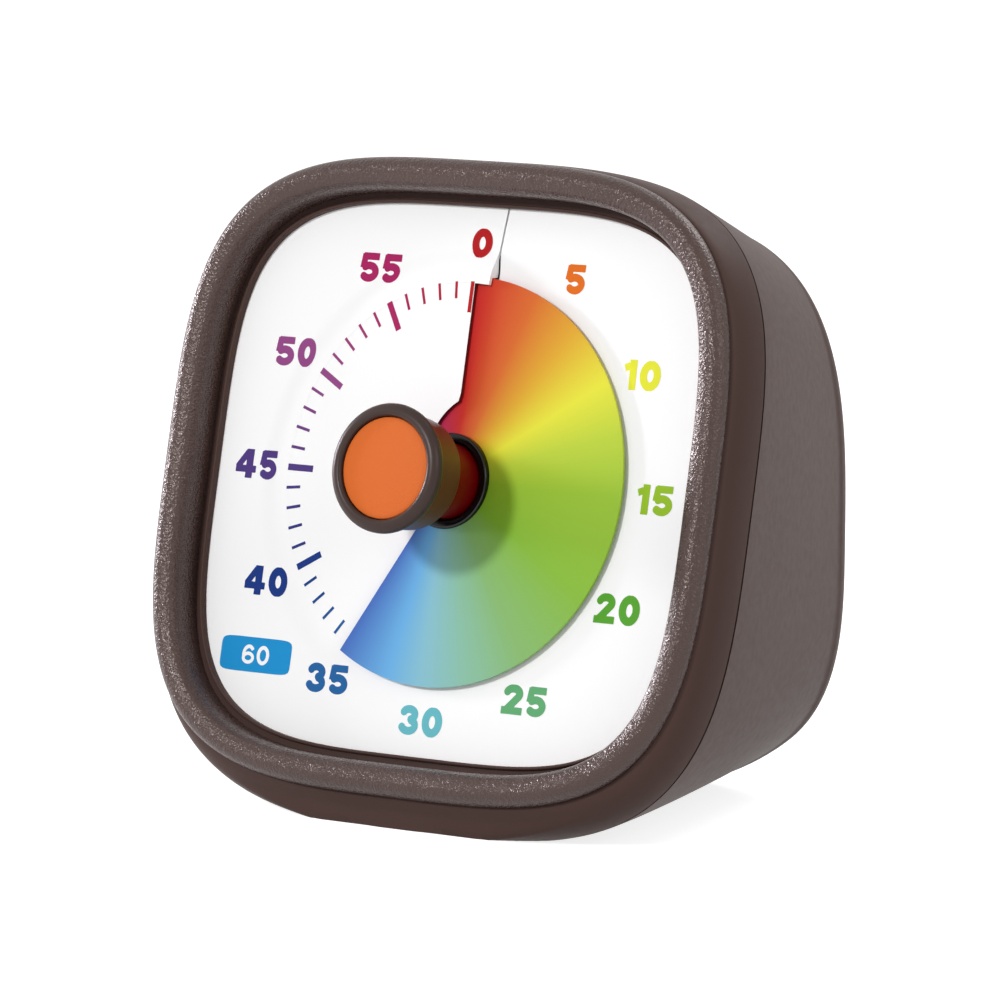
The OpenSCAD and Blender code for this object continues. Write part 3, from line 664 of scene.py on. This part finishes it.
def make_wells():
    """The round walls of the four screw wells, from the back's skin down to the screw heads."""
    sunk = 0.6  # depth below the skin at which the walls start
    parts = []
    for at in SCREWS:
        rows = []
        for r, on_skin in ((BOSS_R, True), (BOSS_R, False), (WELL_R, False), (WELL_R, True)):
            x, v = circle(r, *at, 48)
            skin_h = (v - (BACK_Y - sunk - DIAL_Y) / math.sin(LEAN)) * math.tan(LEAN)
            rows.append(on_dial(x, v, skin_h if on_skin else WELL_FLOOR))
        parts.append(skin(rows))
    piece("screw_wells", *join(parts), "housing", "housing")


def make_door():
    """The battery door: a plate with rounded corners and edges, four finger grooves and two
    legs behind it."""
    gap, edge, under = 0.2, 0.25, DOOR_T - 0.05
    groove_w, groove_h, groove_d, groove_step, first_groove = 4, 0.35, 0.4, 1.3, 1.85
    leg_x, leg_w, leg_in, leg_top = 16, 1.5, 0.8, DOOR_T - 0.1
    w, low, high = DOOR_W - gap, CELL_Z - DOOR_H + gap, CELL_Z + DOOR_H - gap
    outline = [(under, edge), (under, 0.0)]
    for t in np.radians(np.linspace(0, 90, 6)):
        outline.append((edge * (1 - math.sin(t)), edge * (1 - math.cos(t))))
    rows = [slab_ring(0, w, low, high, depth, CORNER - gap, o) for depth, o in outline]
    plate = skin(rows, loop=False)
    door = piece("door_plate", *plate, "battery_door", "housing", ["battery_door"])
    for k in range(4):
        z = high - first_groove - groove_step * k
        z0, z1 = z - groove_h, z + groove_h
        carve(door, *block(0, groove_w, z0, z1, -PAST, groove_d, groove_h - 0.01))
    legs = [
        block(side * leg_x, leg_w, low + leg_in, high - leg_in, leg_top, WALL)
        for side in (-1, 1)
    ]
    piece("door_legs", *join(legs), "battery_door", "housing")


# ---- Dial, disc and knob ----


def rise(r):
    """Share of the dial's climb that is left at radius r."""
    return 1 - smoothstep((r - FLAT_IN) / (FLAT_OUT - FLAT_IN))


def dial_height(x, v):
    """Height of the dial's face: one turn of a screw that flattens out towards the edge."""
    a = np.degrees(np.arctan2(x, v)) % 360
    a = np.where(a < SLOT_AT, a + 360, a)
    return PITCH * (a / 360 - 0.5) * rise(np.hypot(x, v))


def slot_sides(r):
    """Angles of the slot's right and left sides at radius r: a thin cut beyond its top, and a
    flare to the left between its knee and the hole."""
    cut = math.degrees(math.asin(SLOT_CUT / r))
    if r > SLOT_TOP_R:
        return SLOT_AT + cut, SLOT_AT - cut
    if r > KNEE_R:
        return SLOT_AT, math.degrees(math.asin(SLOT_LEFT / r))
    return SLOT_AT, -mix(FLARE, 0, (r - HOLE_R) / (KNEE_R - HOLE_R))


def make_dial():
    """The printed sheet: a helicoid of one turn between the slot's two sides. Outside the disc
    the slot's upper side is turned down to the lower one."""
    near = 0.1  # how close to the disc's edge or the slot's ends a face still counts
    steps = np.linspace(0, 1, 361)
    radii = list(np.linspace(HOLE_R, KNEE_R, 6)) + list(np.linspace(KNEE_R + 1, SLOT_TOP_R, 10))
    radii += list(np.linspace(SLOT_TOP_R + 0.01, FLAT_OUT, 22))
    outer = 4  # rows from the last radius to the sheet's edge
    lap = steps > 0.997  # the last two columns, which meet the cut

    def face(j, side):
        r = radii[min(j, len(radii) - 1)]
        right, left = slot_sides(r)
        a = mix(right, 360 + left, steps)
        out = np.full(a.shape, r)
        if j >= len(radii):
            turn = np.radians(90 - a)
            wide, high = RIM_W - DIAL_O, RIM_V - DIAL_O
            edge = squared_r(turn, wide, high, high, RIM_P + RIM_SQUARER * DIAL_O)
            out = mix(r, edge, (j - len(radii) + 1) / outer)
        wall = np.maximum(0, PITCH * rise(out) - DIAL_T) * (r > DISC_R + near) * lap
        h = PITCH * (a / 360 - 0.5) * rise(out) - side * (DIAL_T + wall)
        return on_dial(out * np.sin(np.radians(a)), out * np.cos(np.radians(a)), h)

    count = len(radii) + outer
    rows = [face(j, 0) for j in range(count)] + [face(j, 1) for j in reversed(range(count))]
    sheet = piece("dial_sheet", *strip(rows), "housing", "dial", ["dial_plate"])
    # The slot's cut walls, from the hole to the slot's top, are marked for painted shade in dark
    # red.
    middle, normal = face_places(sheet)
    facing = normal @ (0, -math.cos(LEAN), math.sin(LEAN))
    r = np.hypot(*to_dial(middle))
    mark_second(sheet, (np.abs(facing) < 0.5) & (r > HOLE_R + near) & (r < SLOT_TOP_R + near))


def face_places(obj):
    """Middle of each face in world millimetres, and its normal."""
    total = len(obj.data.polygons)
    middle, normal = np.empty(total * 3), np.empty(total * 3)
    obj.data.polygons.foreach_get("center", middle)
    obj.data.polygons.foreach_get("normal", normal)
    return middle.reshape(-1, 3) / MM, normal.reshape(-1, 3)


def mark_second(obj, marked):
    """Gives the marked faces the painted second colour of a finish: painted shade on the dial's
    slot walls, a painted reflection on the knob's body.
    """
    layer = obj.data.attributes.new("second", "FLOAT", "FACE")
    layer.data.foreach_set("value", marked.astype(np.float32))


def make_disc():
    """The coloured disc: a flat helicoid of one turn that starts at the set minute. Each point
    carries the minute of the dial that it lies over at rest."""
    a = np.linspace(DISC_TURN - 360 + DISC_GAP, DISC_TURN, 481)
    radii = np.linspace(HUB_R - 0.05, DISC_R, 16)

    def face(r, side):
        h = PITCH * a / 360 + DISC_T * (0.5 - side)
        return on_dial(r * np.sin(np.radians(a)), r * np.cos(np.radians(a)), h)

    rows = [face(r, 0) for r in radii] + [face(r, 1) for r in radii[::-1]]
    disc = piece("disc_sheet", *strip(rows), "disc", "disc", ["rainbow_disc"])
    places = np.empty(len(disc.data.vertices) * 3)
    disc.data.vertices.foreach_get("co", places)
    places = places.reshape(-1, 3) / MM
    x, v = to_dial(places)
    turn = np.degrees(np.arctan2(x, v))
    turn += 360 * np.round(dial_lift(places) / PITCH - turn / 360)
    layer = disc.data.attributes.new("minute", "FLOAT", "POINT")
    layer.data.foreach_set("value", (turn / 6).astype(np.float32))


def to_dial(points):
    """The dial's x and v of world points in millimetres."""
    y, z = points[:, 1] - DIAL_Y, points[:, 2] - DIAL_Z
    return points[:, 0], y * math.sin(LEAN) + z * math.cos(LEAN)


def dial_lift(points):
    """The dial's h of world points in millimetres."""
    y, z = points[:, 1] - DIAL_Y, points[:, 2] - DIAL_Z
    return z * math.sin(LEAN) - y * math.cos(LEAN)


def make_hub():
    """The glossy collar on the disc, both rims rounded."""
    bore, soft, bore_soft, past = STEM_R + 0.3, 0.3, 0.2, 0.4
    low, high = PITCH * (DISC_TURN / 360 - 1) - past, PITCH * DISC_TURN / 360 + past
    profile = np.vstack([
        arc(HUB_R - soft, low + soft, soft, -90, 0),
        arc(HUB_R - soft, high - soft, soft, 0, 90),
        arc(bore + bore_soft, high - bore_soft, bore_soft, 90, 180, 5),
        [(bore, low), (HUB_R - soft, low)],
    ])
    piece("collar", *revolve(profile), "disc", "hub_black", ["disc_hub"])


def make_stem():
    """The red stem, a plain sleeve from under the dial up to the knob."""
    low = -(DIAL_T + LEDGE_T + 0.2)
    ends = [(SPINDLE_R, low), (STEM_R, low), (STEM_R, KNOB_LOW), (SPINDLE_R, KNOB_LOW)]
    piece("stem", *revolve(ends + ends[:1]), "spindle", "stem_red", ["knob_stem"])


def make_knob():
    """The knob: a tapered body, a rolled bead round its front and a recess for the face."""
    soft, neck = 0.5, KNOB_TOP - 2.4 * BEAD_R
    profile = np.vstack([
        [(0, KNOB_LOW), (STEM_R + 0.5, KNOB_LOW)],
        arc(KNOB_REAR_R - soft, KNOB_LOW + soft, soft, -90, 0, 6),
        [(KNOB_R - 0.6, neck)],
        arc(KNOB_R - BEAD_R, KNOB_TOP - BEAD_R, BEAD_R, -60, 90, 20),
        arc(CAP_R + soft, KNOB_TOP - soft, soft, 90, 180, 8),
        [(CAP_R, KNOB_TOP - CAP_D), (0, KNOB_TOP - CAP_D)],
    ])
    knob = piece("knob_body", *revolve(profile), "spindle", "knob_brown", ["knob"])
    # The body below the bead is marked for the redder colour, a painted reflection of the red
    # stem.
    mark_second(knob, dial_lift(face_places(knob)[0]) < KNOB_TOP - 2 * BEAD_R)


def make_cap():
    """The orange face let into the knob, its edge eased."""
    r, soft, sunk = CAP_R - 0.1, 0.2, 0.5
    profile = np.vstack([
        [(0, KNOB_TOP - CAP_D), (r, KNOB_TOP - CAP_D)],
        arc(r - soft, KNOB_TOP - sunk - 0.25, soft, 0, 75, 6),
        [(r - 0.6, KNOB_TOP - sunk - 0.02), (0, KNOB_TOP - sunk)],
    ])
    piece("knob_face", *revolve(profile), "spindle", "knob_orange", ["knob_cap"])


# ---- Print on the dial ----

FILM = 0.02  # how far ink stands above the sheet
TICK_R = 25.0
BIG_TICK, SMALL_TICK = (0.42, 3.9), (0.19, 2.13)  # half width and length
DIGIT_R, DIGIT_OUT, DIGIT_HEIGHT = 29.9, 0.25, 3.7
STRAY = {5: -1, 20: -3, 40: 1, 50: -1}  # degrees that some numbers stand off their minute
LABEL_AT, LABEL_W, LABEL_H, LABEL_P = (-26.5, -24.0), 5.5, 2.2, 8
LABEL_INK, LABEL_DIGIT_HEIGHT, LABEL_WEIGHT = (28, 145, 208), 2.7, 0.62


def minute_ink(minute):
    """Colour of a tick: between the colours of the numbers before and after it."""
    low = int(minute // 5) * 5
    share = (minute - low) / 5
    return mix(np.array(linear(INKS[low % 60])), np.array(linear(INKS[(low + 5) % 60])), share)


def print_film(name, points, faces, colors):
    """A film of ink on the sheet, coloured point by point, its faces turned to the front."""
    film = piece(name, points, faces, "housing", "dial", made=print_ink, closed=False)
    layer = film.data.attributes.new("ink", "FLOAT_COLOR", "POINT")
    rgba = np.ones((len(film.data.vertices), 4), np.float32)
    rgba[:, :3] = colors
    layer.data.foreach_set("color", rgba.ravel())
    work = bmesh.new()
    work.from_mesh(film.data)
    work.normal_update()
    work.faces.ensure_lookup_table()
    back = [f for f in work.faces if f.normal.y > 0]
    bmesh.ops.reverse_faces(work, faces=back)
    work.to_mesh(film.data)
    work.free()


def make_ticks():
    """Sixty ticks, every fifth longer and wider, each a small grid laid on the sheet."""
    rows, cols = 5, 3
    minute = np.arange(60)
    big = minute[:, None] % 5 == 0
    half, length = np.where(big, BIG_TICK, SMALL_TICK).T[:, :, None, None]
    along, across = np.linspace(0, 1, rows)[:, None], np.linspace(-1, 1, cols)
    side = half * (across + 0 * along)
    out = TICK_R - length * (along + 0 * across)
    minute = minute[:, None, None]
    a = np.radians(6 * minute)
    x, v = out * np.sin(a) + side * np.cos(a), out * np.cos(a) - side * np.sin(a)
    x = np.where(minute == 0, np.minimum(x, SLOT_LEFT - 0.08), x)  # it stops beside the slot
    turn = np.where(minute == 0, 1, minute / 60)
    points = on_dial(x, v, PITCH * (turn - 0.5) * rise(out) + FILM)
    size = rows * cols
    faces = sum((grid_faces(rows, cols, start=size * k) for k in range(60)), [])
    colors = np.repeat([minute_ink(m) for m in range(60)], size, 0)
    print_film("minute_ticks", points, faces, colors)


def oval(x, y, half_w, half_h, a0, a1):
    """Points of an elliptic arc about (x, y), one every 12 degrees or so from a0 to a1."""
    a = np.radians(np.linspace(a0, a1, 2 + int(abs(a1 - a0) / 12)))
    return np.stack([x + half_w * np.cos(a), y + half_h * np.sin(a)], -1)


# Middle lines and half widths of each figure's strokes. A figure is 1 high and centred on 0.
STROKES = {
    "0": [(oval(0, 0, 0.27, 0.365, 0, 360), 0.145)],
    "1": [([(0.12, -0.5), (0.12, 0.5)], 0.15), ([(0.12, 0.34), (-0.22, 0.21)], 0.12)],
    "2": [
        (np.vstack([oval(0, 0.19, 0.26, 0.18, 172, -30), [(-0.25, -0.4)]]), 0.138),
        ([(-0.41, -0.375), (0.41, -0.375)], 0.125),
    ],
    "3": [
        (oval(-0.01, 0.19, 0.24, 0.175, 168, -80), 0.135),
        (oval(0, -0.18, 0.27, 0.19, 80, -170), 0.135),
    ],
    "4": [
        ([(0.14, -0.5), (0.14, 0.5)], 0.145),
        ([(0.12, 0.5), (-0.34, -0.12)], 0.115),
        ([(-0.42, -0.185), (0.42, -0.185)], 0.12),
    ],
    "5": [
        ([(-0.26, 0.375), (0.37, 0.375)], 0.125),
        ([(-0.2, 0.45), (-0.26, -0.02)], 0.125),
        (oval(0, -0.155, 0.275, 0.215, 140, -148), 0.134),
    ],
    "6": [
        (oval(0, -0.165, 0.27, 0.205, 0, 360), 0.132),
        (oval(0.01, 0, 0.28, 0.37, 36, 196), 0.138),
    ],
}


def stroke_distance(x, y, strokes, weight):
    """Signed distance from a figure's edge, less than 0 inside: each stroke is a chain of
    rectangles along its middle line with round joints, cut off level at the top and bottom.
    The half widths are multiplied by weight."""
    lap = 0.008  # how far a rectangle reaches past its ends
    best = np.full(x.shape, np.inf)
    for line, half in strokes:
        line, half = np.asarray(line, float), half * weight
        joints = line if math.dist(line[0], line[-1]) < 1e-6 else line[1:-1]
        for a in joints:
            best = np.minimum(best, np.hypot(x - a[0], y - a[1]) - half)
        for a, b in zip(line[:-1], line[1:]):
            length = math.dist(a, b)
            along, across = (b - a) / length, np.array([a[1] - b[1], b[0] - a[0]]) / length
            px, py = x - (a[0] + b[0]) / 2, y - (a[1] + b[1]) / 2
            u = np.abs(px * along[0] + py * along[1]) - length / 2 - lap
            w = np.abs(px * across[0] + py * across[1]) - half
            box = np.hypot(np.maximum(u, 0), np.maximum(w, 0)) + np.minimum(np.maximum(u, w), 0)
            best = np.minimum(best, box)
    return np.maximum(best, np.abs(y) - 0.5)


def figure(digit, weight):
    """One figure as a flat mesh, up to 0.84 wide and 1 high: a square grid whose points next to
    the edge are moved onto it, without the cells outside."""
    step = 1 / 30
    xs, ys = np.arange(-0.52, 0.52, step), np.arange(-0.54, 0.54, step)
    x, y = np.meshgrid(xs, ys)
    d = stroke_distance(x, y, STROKES[digit], weight)
    slope_y, slope_x = np.gradient(d, step)
    near = np.abs(d) <= 0.55 * step
    size = np.maximum(np.hypot(slope_x, slope_y), 0.5)
    x, y = x - near * d * slope_x / size**2, y - near * d * slope_y / size**2
    inside = (d < 0) | near
    faces = np.array(grid_faces(*x.shape))
    held = inside.ravel()[faces]
    points = np.stack([x, y], -1).reshape(-1, 2)
    whole = faces[held.all(1)].tolist()
    corners = [q[h].tolist() for q, h in zip(faces, held) if h.sum() == 3]
    middles = np.array([points[f].mean(0) for f in whole + corners])
    real = stroke_distance(*middles.T, STROKES[digit], weight) < -0.05 * step
    kept = [f for f, good in zip(whole + corners, real) if good]
    used, back = np.unique(np.concatenate(kept), return_inverse=True)
    ends = np.cumsum([len(f) for f in kept])
    return points[used], [part.tolist() for part in np.split(back, ends[:-1])]


def figures(text, height, weight=1.0):
    """A number as a flat mesh about its own middle: x, v in millimetres and faces."""
    gap = 0.14
    parts, start = [], 0.0
    for digit in text:
        place, faces = figure(digit, weight)
        place = place - [place[:, 0].min() - start, 0]
        parts.append((place, faces))
        start = place[:, 0].max() + gap
    place, faces = join(parts)
    return (place - [(start - gap) / 2, 0]) * height, faces


def make_numbers():
    """The twelve numbers round the dial, upright, laid on the sheet. Those at the sides lie a
    little further out."""
    parts, colors = [], []
    for minute, color in INKS.items():
        shape, faces = figures(str(minute), DIGIT_HEIGHT)
        a = math.radians(6 * minute + STRAY.get(minute, 0))
        r = DIGIT_R + DIGIT_OUT * math.sin(a) ** 2
        x, v = shape[:, 0] + r * math.sin(a), shape[:, 1] + r * math.cos(a)
        parts.append((on_dial(x, v, dial_height(x, v) + FILM), faces))
        colors.append(np.repeat([linear(color)], len(shape), 0))
    print_film("minute_numbers", *join(parts), np.vstack(colors))


def make_label():
    """A blue field with rounded corners and a plain white 60 on it."""
    around = 96
    turn = np.arange(around)
    a = 2 * np.pi * turn / around
    r = squared_r(a, LABEL_W, LABEL_H, LABEL_H, LABEL_P)
    shares = np.array([1, 0.8, 0.6, 0.4, 0.2])[:, None]
    x = LABEL_AT[0] + np.append(shares * r * np.cos(a), 0)
    v = LABEL_AT[1] + np.append(shares * r * np.sin(a), 0)
    faces = grid_faces(len(shares), around, False, True)
    middle = around * len(shares)
    last = middle - around
    fan = (last + turn, last + (turn + 1) % around, np.full(around, middle))
    faces += np.stack(fan, -1).tolist()
    print_film("label_field", on_dial(x, v, dial_height(x, v) + FILM), faces, linear(LABEL_INK))
    shape, faces = figures("60", LABEL_DIGIT_HEIGHT, LABEL_WEIGHT)
    x, v = shape[:, 0] + LABEL_AT[0], shape[:, 1] + LABEL_AT[1]
    points = on_dial(x, v, dial_height(x, v) + 2 * FILM)
    print_film("label_number", points, faces, PAPER)


# ---- Frame pieces that keep their own shape ----


def soft_edges():
    """Node group that merges a piece's loose triangles and smooths it except at its edges."""
    group = bpy.data.node_groups.new("soft_edges", "GeometryNodeTree")
    for way in ("INPUT", "OUTPUT"):
        group.interface.new_socket("Geometry", in_out=way, socket_type="NodeSocketGeometry")
    new, link = group.nodes.new, group.links.new
    start, end = new("NodeGroupInput"), new("NodeGroupOutput")
    merge = new("GeometryNodeMergeByDistance")
    merge.inputs["Distance"].default_value = MERGE
    angle, test = new("GeometryNodeInputMeshEdgeAngle"), new("FunctionNodeCompare")
    test.operation = "GREATER_THAN"
    test.inputs[1].default_value = NODE_CREASE
    whole, sharp = new("GeometryNodeSetShadeSmooth"), new("GeometryNodeSetShadeSmooth")
    sharp.domain = "EDGE"
    sharp.inputs["Shade Smooth"].default_value = False
    link(angle.outputs["Unsigned Angle"], test.inputs[0])
    link(test.outputs["Result"], sharp.inputs["Selection"])
    for a, b in ((start, merge), (merge, whole), (whole, sharp), (sharp, end)):
        link(a.outputs[0], b.inputs[0])
    return group


def dress_nodes():
    """Gives every frame node its finish and soft shading."""
    group = soft_edges()
    for part in frame["record"]["subparts"]:
        node = nodes[part["node"]]
        node.data.materials.clear()
        node.data.materials.append(finish[part["material_slot"]])
        smooth = node.modifiers.new("soft_edges", "NODES")
        smooth.node_group = group


# ---- Light, floor and camera ----

VIEW_TURN, VIEW_RISE, VIEW_ROLL = math.radians(35.0), math.radians(6.94), math.radians(0.46)
VIEW_FOCAL = 244.8  # on a 36 mm sensor
VIEW_OFFSET = (-5.976, 2.254)  # where the dial's centre lies in the camera's frame
VIEW_DISTANCE = 842.5
ROOM_LIGHT = 0.45
FLOOR_HALF = 4.0  # in metres
FLOOR_COLOR, FLOOR_GLOW = (0.62, 0.62, 0.62), (0.8, 0.8, 0.8)


def make_camera():
    """The photograph's viewpoint: turned to the right of the dial, raised and slightly rolled."""
    back = Vector((
        math.sin(VIEW_TURN) * math.cos(VIEW_RISE),
        -math.cos(VIEW_TURN) * math.cos(VIEW_RISE),
        math.sin(VIEW_RISE),
    ))
    level = Vector((math.cos(VIEW_TURN), math.sin(VIEW_TURN), 0))
    upright = back.cross(level)
    right = level * math.cos(VIEW_ROLL) + upright * math.sin(VIEW_ROLL)
    up = back.cross(right)
    dial = Vector((0, DIAL_Y, DIAL_Z))
    place = dial - VIEW_OFFSET[0] * right - VIEW_OFFSET[1] * up + VIEW_DISTANCE * back
    data = bpy.data.cameras.new("camera")
    data.lens, data.sensor_width = VIEW_FOCAL, 36.0
    data.clip_start, data.clip_end = 0.01, 20.0
    camera = stand("camera", data)
    turn = Matrix((right, up, back)).transposed().to_4x4()
    camera.matrix_world = Matrix.Translation(place * MM) @ turn
    bpy.context.scene.camera = camera


def lamp(name, direction, distance, size, level, color=(1, 1, 1)):
    """A round soft light, distance and size in millimetres, placed from the dial along a
    direction in the dial's frame. Its level is the share of a white surface's brightness that
    it gives when it falls on it squarely."""
    data = bpy.data.lights.new(name, "AREA")
    data.shape, data.size, data.color = "DISK", size * MM, color
    data.energy = level * math.pi**2 * (distance * MM) ** 2
    reach = np.array(direction) / np.linalg.norm(direction) * distance
    place = Vector(on_dial(*reach).tolist())
    turn = (place - Vector((0, DIAL_Y, DIAL_Z))).to_track_quat("Z", "Y").to_matrix().to_4x4()
    stand(name, data).matrix_world = Matrix.Translation(place * MM) @ turn


def background_rays(tree):
    """Socket that is 1 for rays from the camera, off gloss or through glass, 0 for the rest."""
    path = tree.nodes.new("ShaderNodeLightPath")
    total = path.outputs["Is Camera Ray"]
    for kind in ("Is Glossy Ray", "Is Transmission Ray"):
        both = tree.nodes.new("ShaderNodeMath")
        both.operation, both.use_clamp = "ADD", True
        tree.links.new(total, both.inputs[0])
        tree.links.new(path.outputs[kind], both.inputs[1])
        total = both.outputs[0]
    return total


def make_lights():
    """Four soft lamps and a pale room, in front of a backdrop that shows as plain white."""
    lamp("key", (-0.16, 0.25, 1), 900, 110, 0.46)
    lamp("side", (1.0, 0.45, 0.35), 900, 420, 0.16)
    lamp("left", (-1.0, 0.15, 0.16), 900, 180, 0.6, (0.97, 0.93, 1.0))
    lamp("top", (0.25, 1.0, -0.5), 900, 500, 0.38)
    world = bpy.data.worlds.new("room")
    bpy.context.scene.world = world
    world.use_nodes = True
    tree = world.node_tree
    tree.nodes.clear()
    both, out = tree.nodes.new("ShaderNodeMixShader"), tree.nodes.new("ShaderNodeOutputWorld")
    tree.links.new(background_rays(tree), both.inputs[0])
    for socket, strength in ((1, ROOM_LIGHT), (2, 1.0)):
        sky = tree.nodes.new("ShaderNodeBackground")
        sky.inputs["Color"].default_value = (1, 1, 1, 1)
        sky.inputs["Strength"].default_value = strength
        tree.links.new(sky.outputs[0], both.inputs[socket])
    tree.links.new(both.outputs[0], out.inputs[0])
    bpy.context.scene.view_settings.view_transform = "Standard"


def make_floor():
    """A plain pale floor that glows a little for the background rays, so that it reads as white
    paper and keeps the timer's shadow."""
    half = FLOOR_HALF
    corners = [(-half, -half, 0), (half, -half, 0), (half, half, 0), (-half, half, 0)]
    mesh = bpy.data.meshes.new("floor")
    mesh.from_pydata(corners, [], [(0, 1, 2, 3)])
    made = bpy.data.materials.new("floor_paper")
    made.use_nodes = True
    tree = made.node_tree
    tree.nodes.clear()
    paper = add(made, "ShaderNodeBsdfDiffuse", {"Color": (*FLOOR_COLOR, 1)})
    rays = background_rays(tree)
    glow = add(made, "ShaderNodeEmission", {"Color": (*FLOOR_GLOW, 1), "Strength": rays})
    both = add(made, "ShaderNodeAddShader")
    connect(made, paper.outputs[0], both.inputs[0])
    connect(made, glow.outputs[0], both.inputs[1])
    add(made, "ShaderNodeOutputMaterial", {"Surface": both.outputs[0]})
    mesh.materials.append(made)
    stand("floor", mesh)


make_camera()
dress_nodes()
make_front_frame()
make_bezel()
make_retainer()
make_rear_housing()
make_wells()
make_door()
make_dial()
make_disc()
make_hub()
make_stem()
make_knob()
make_cap()
make_ticks()
make_numbers()
make_label()
make_lights()
make_floor()
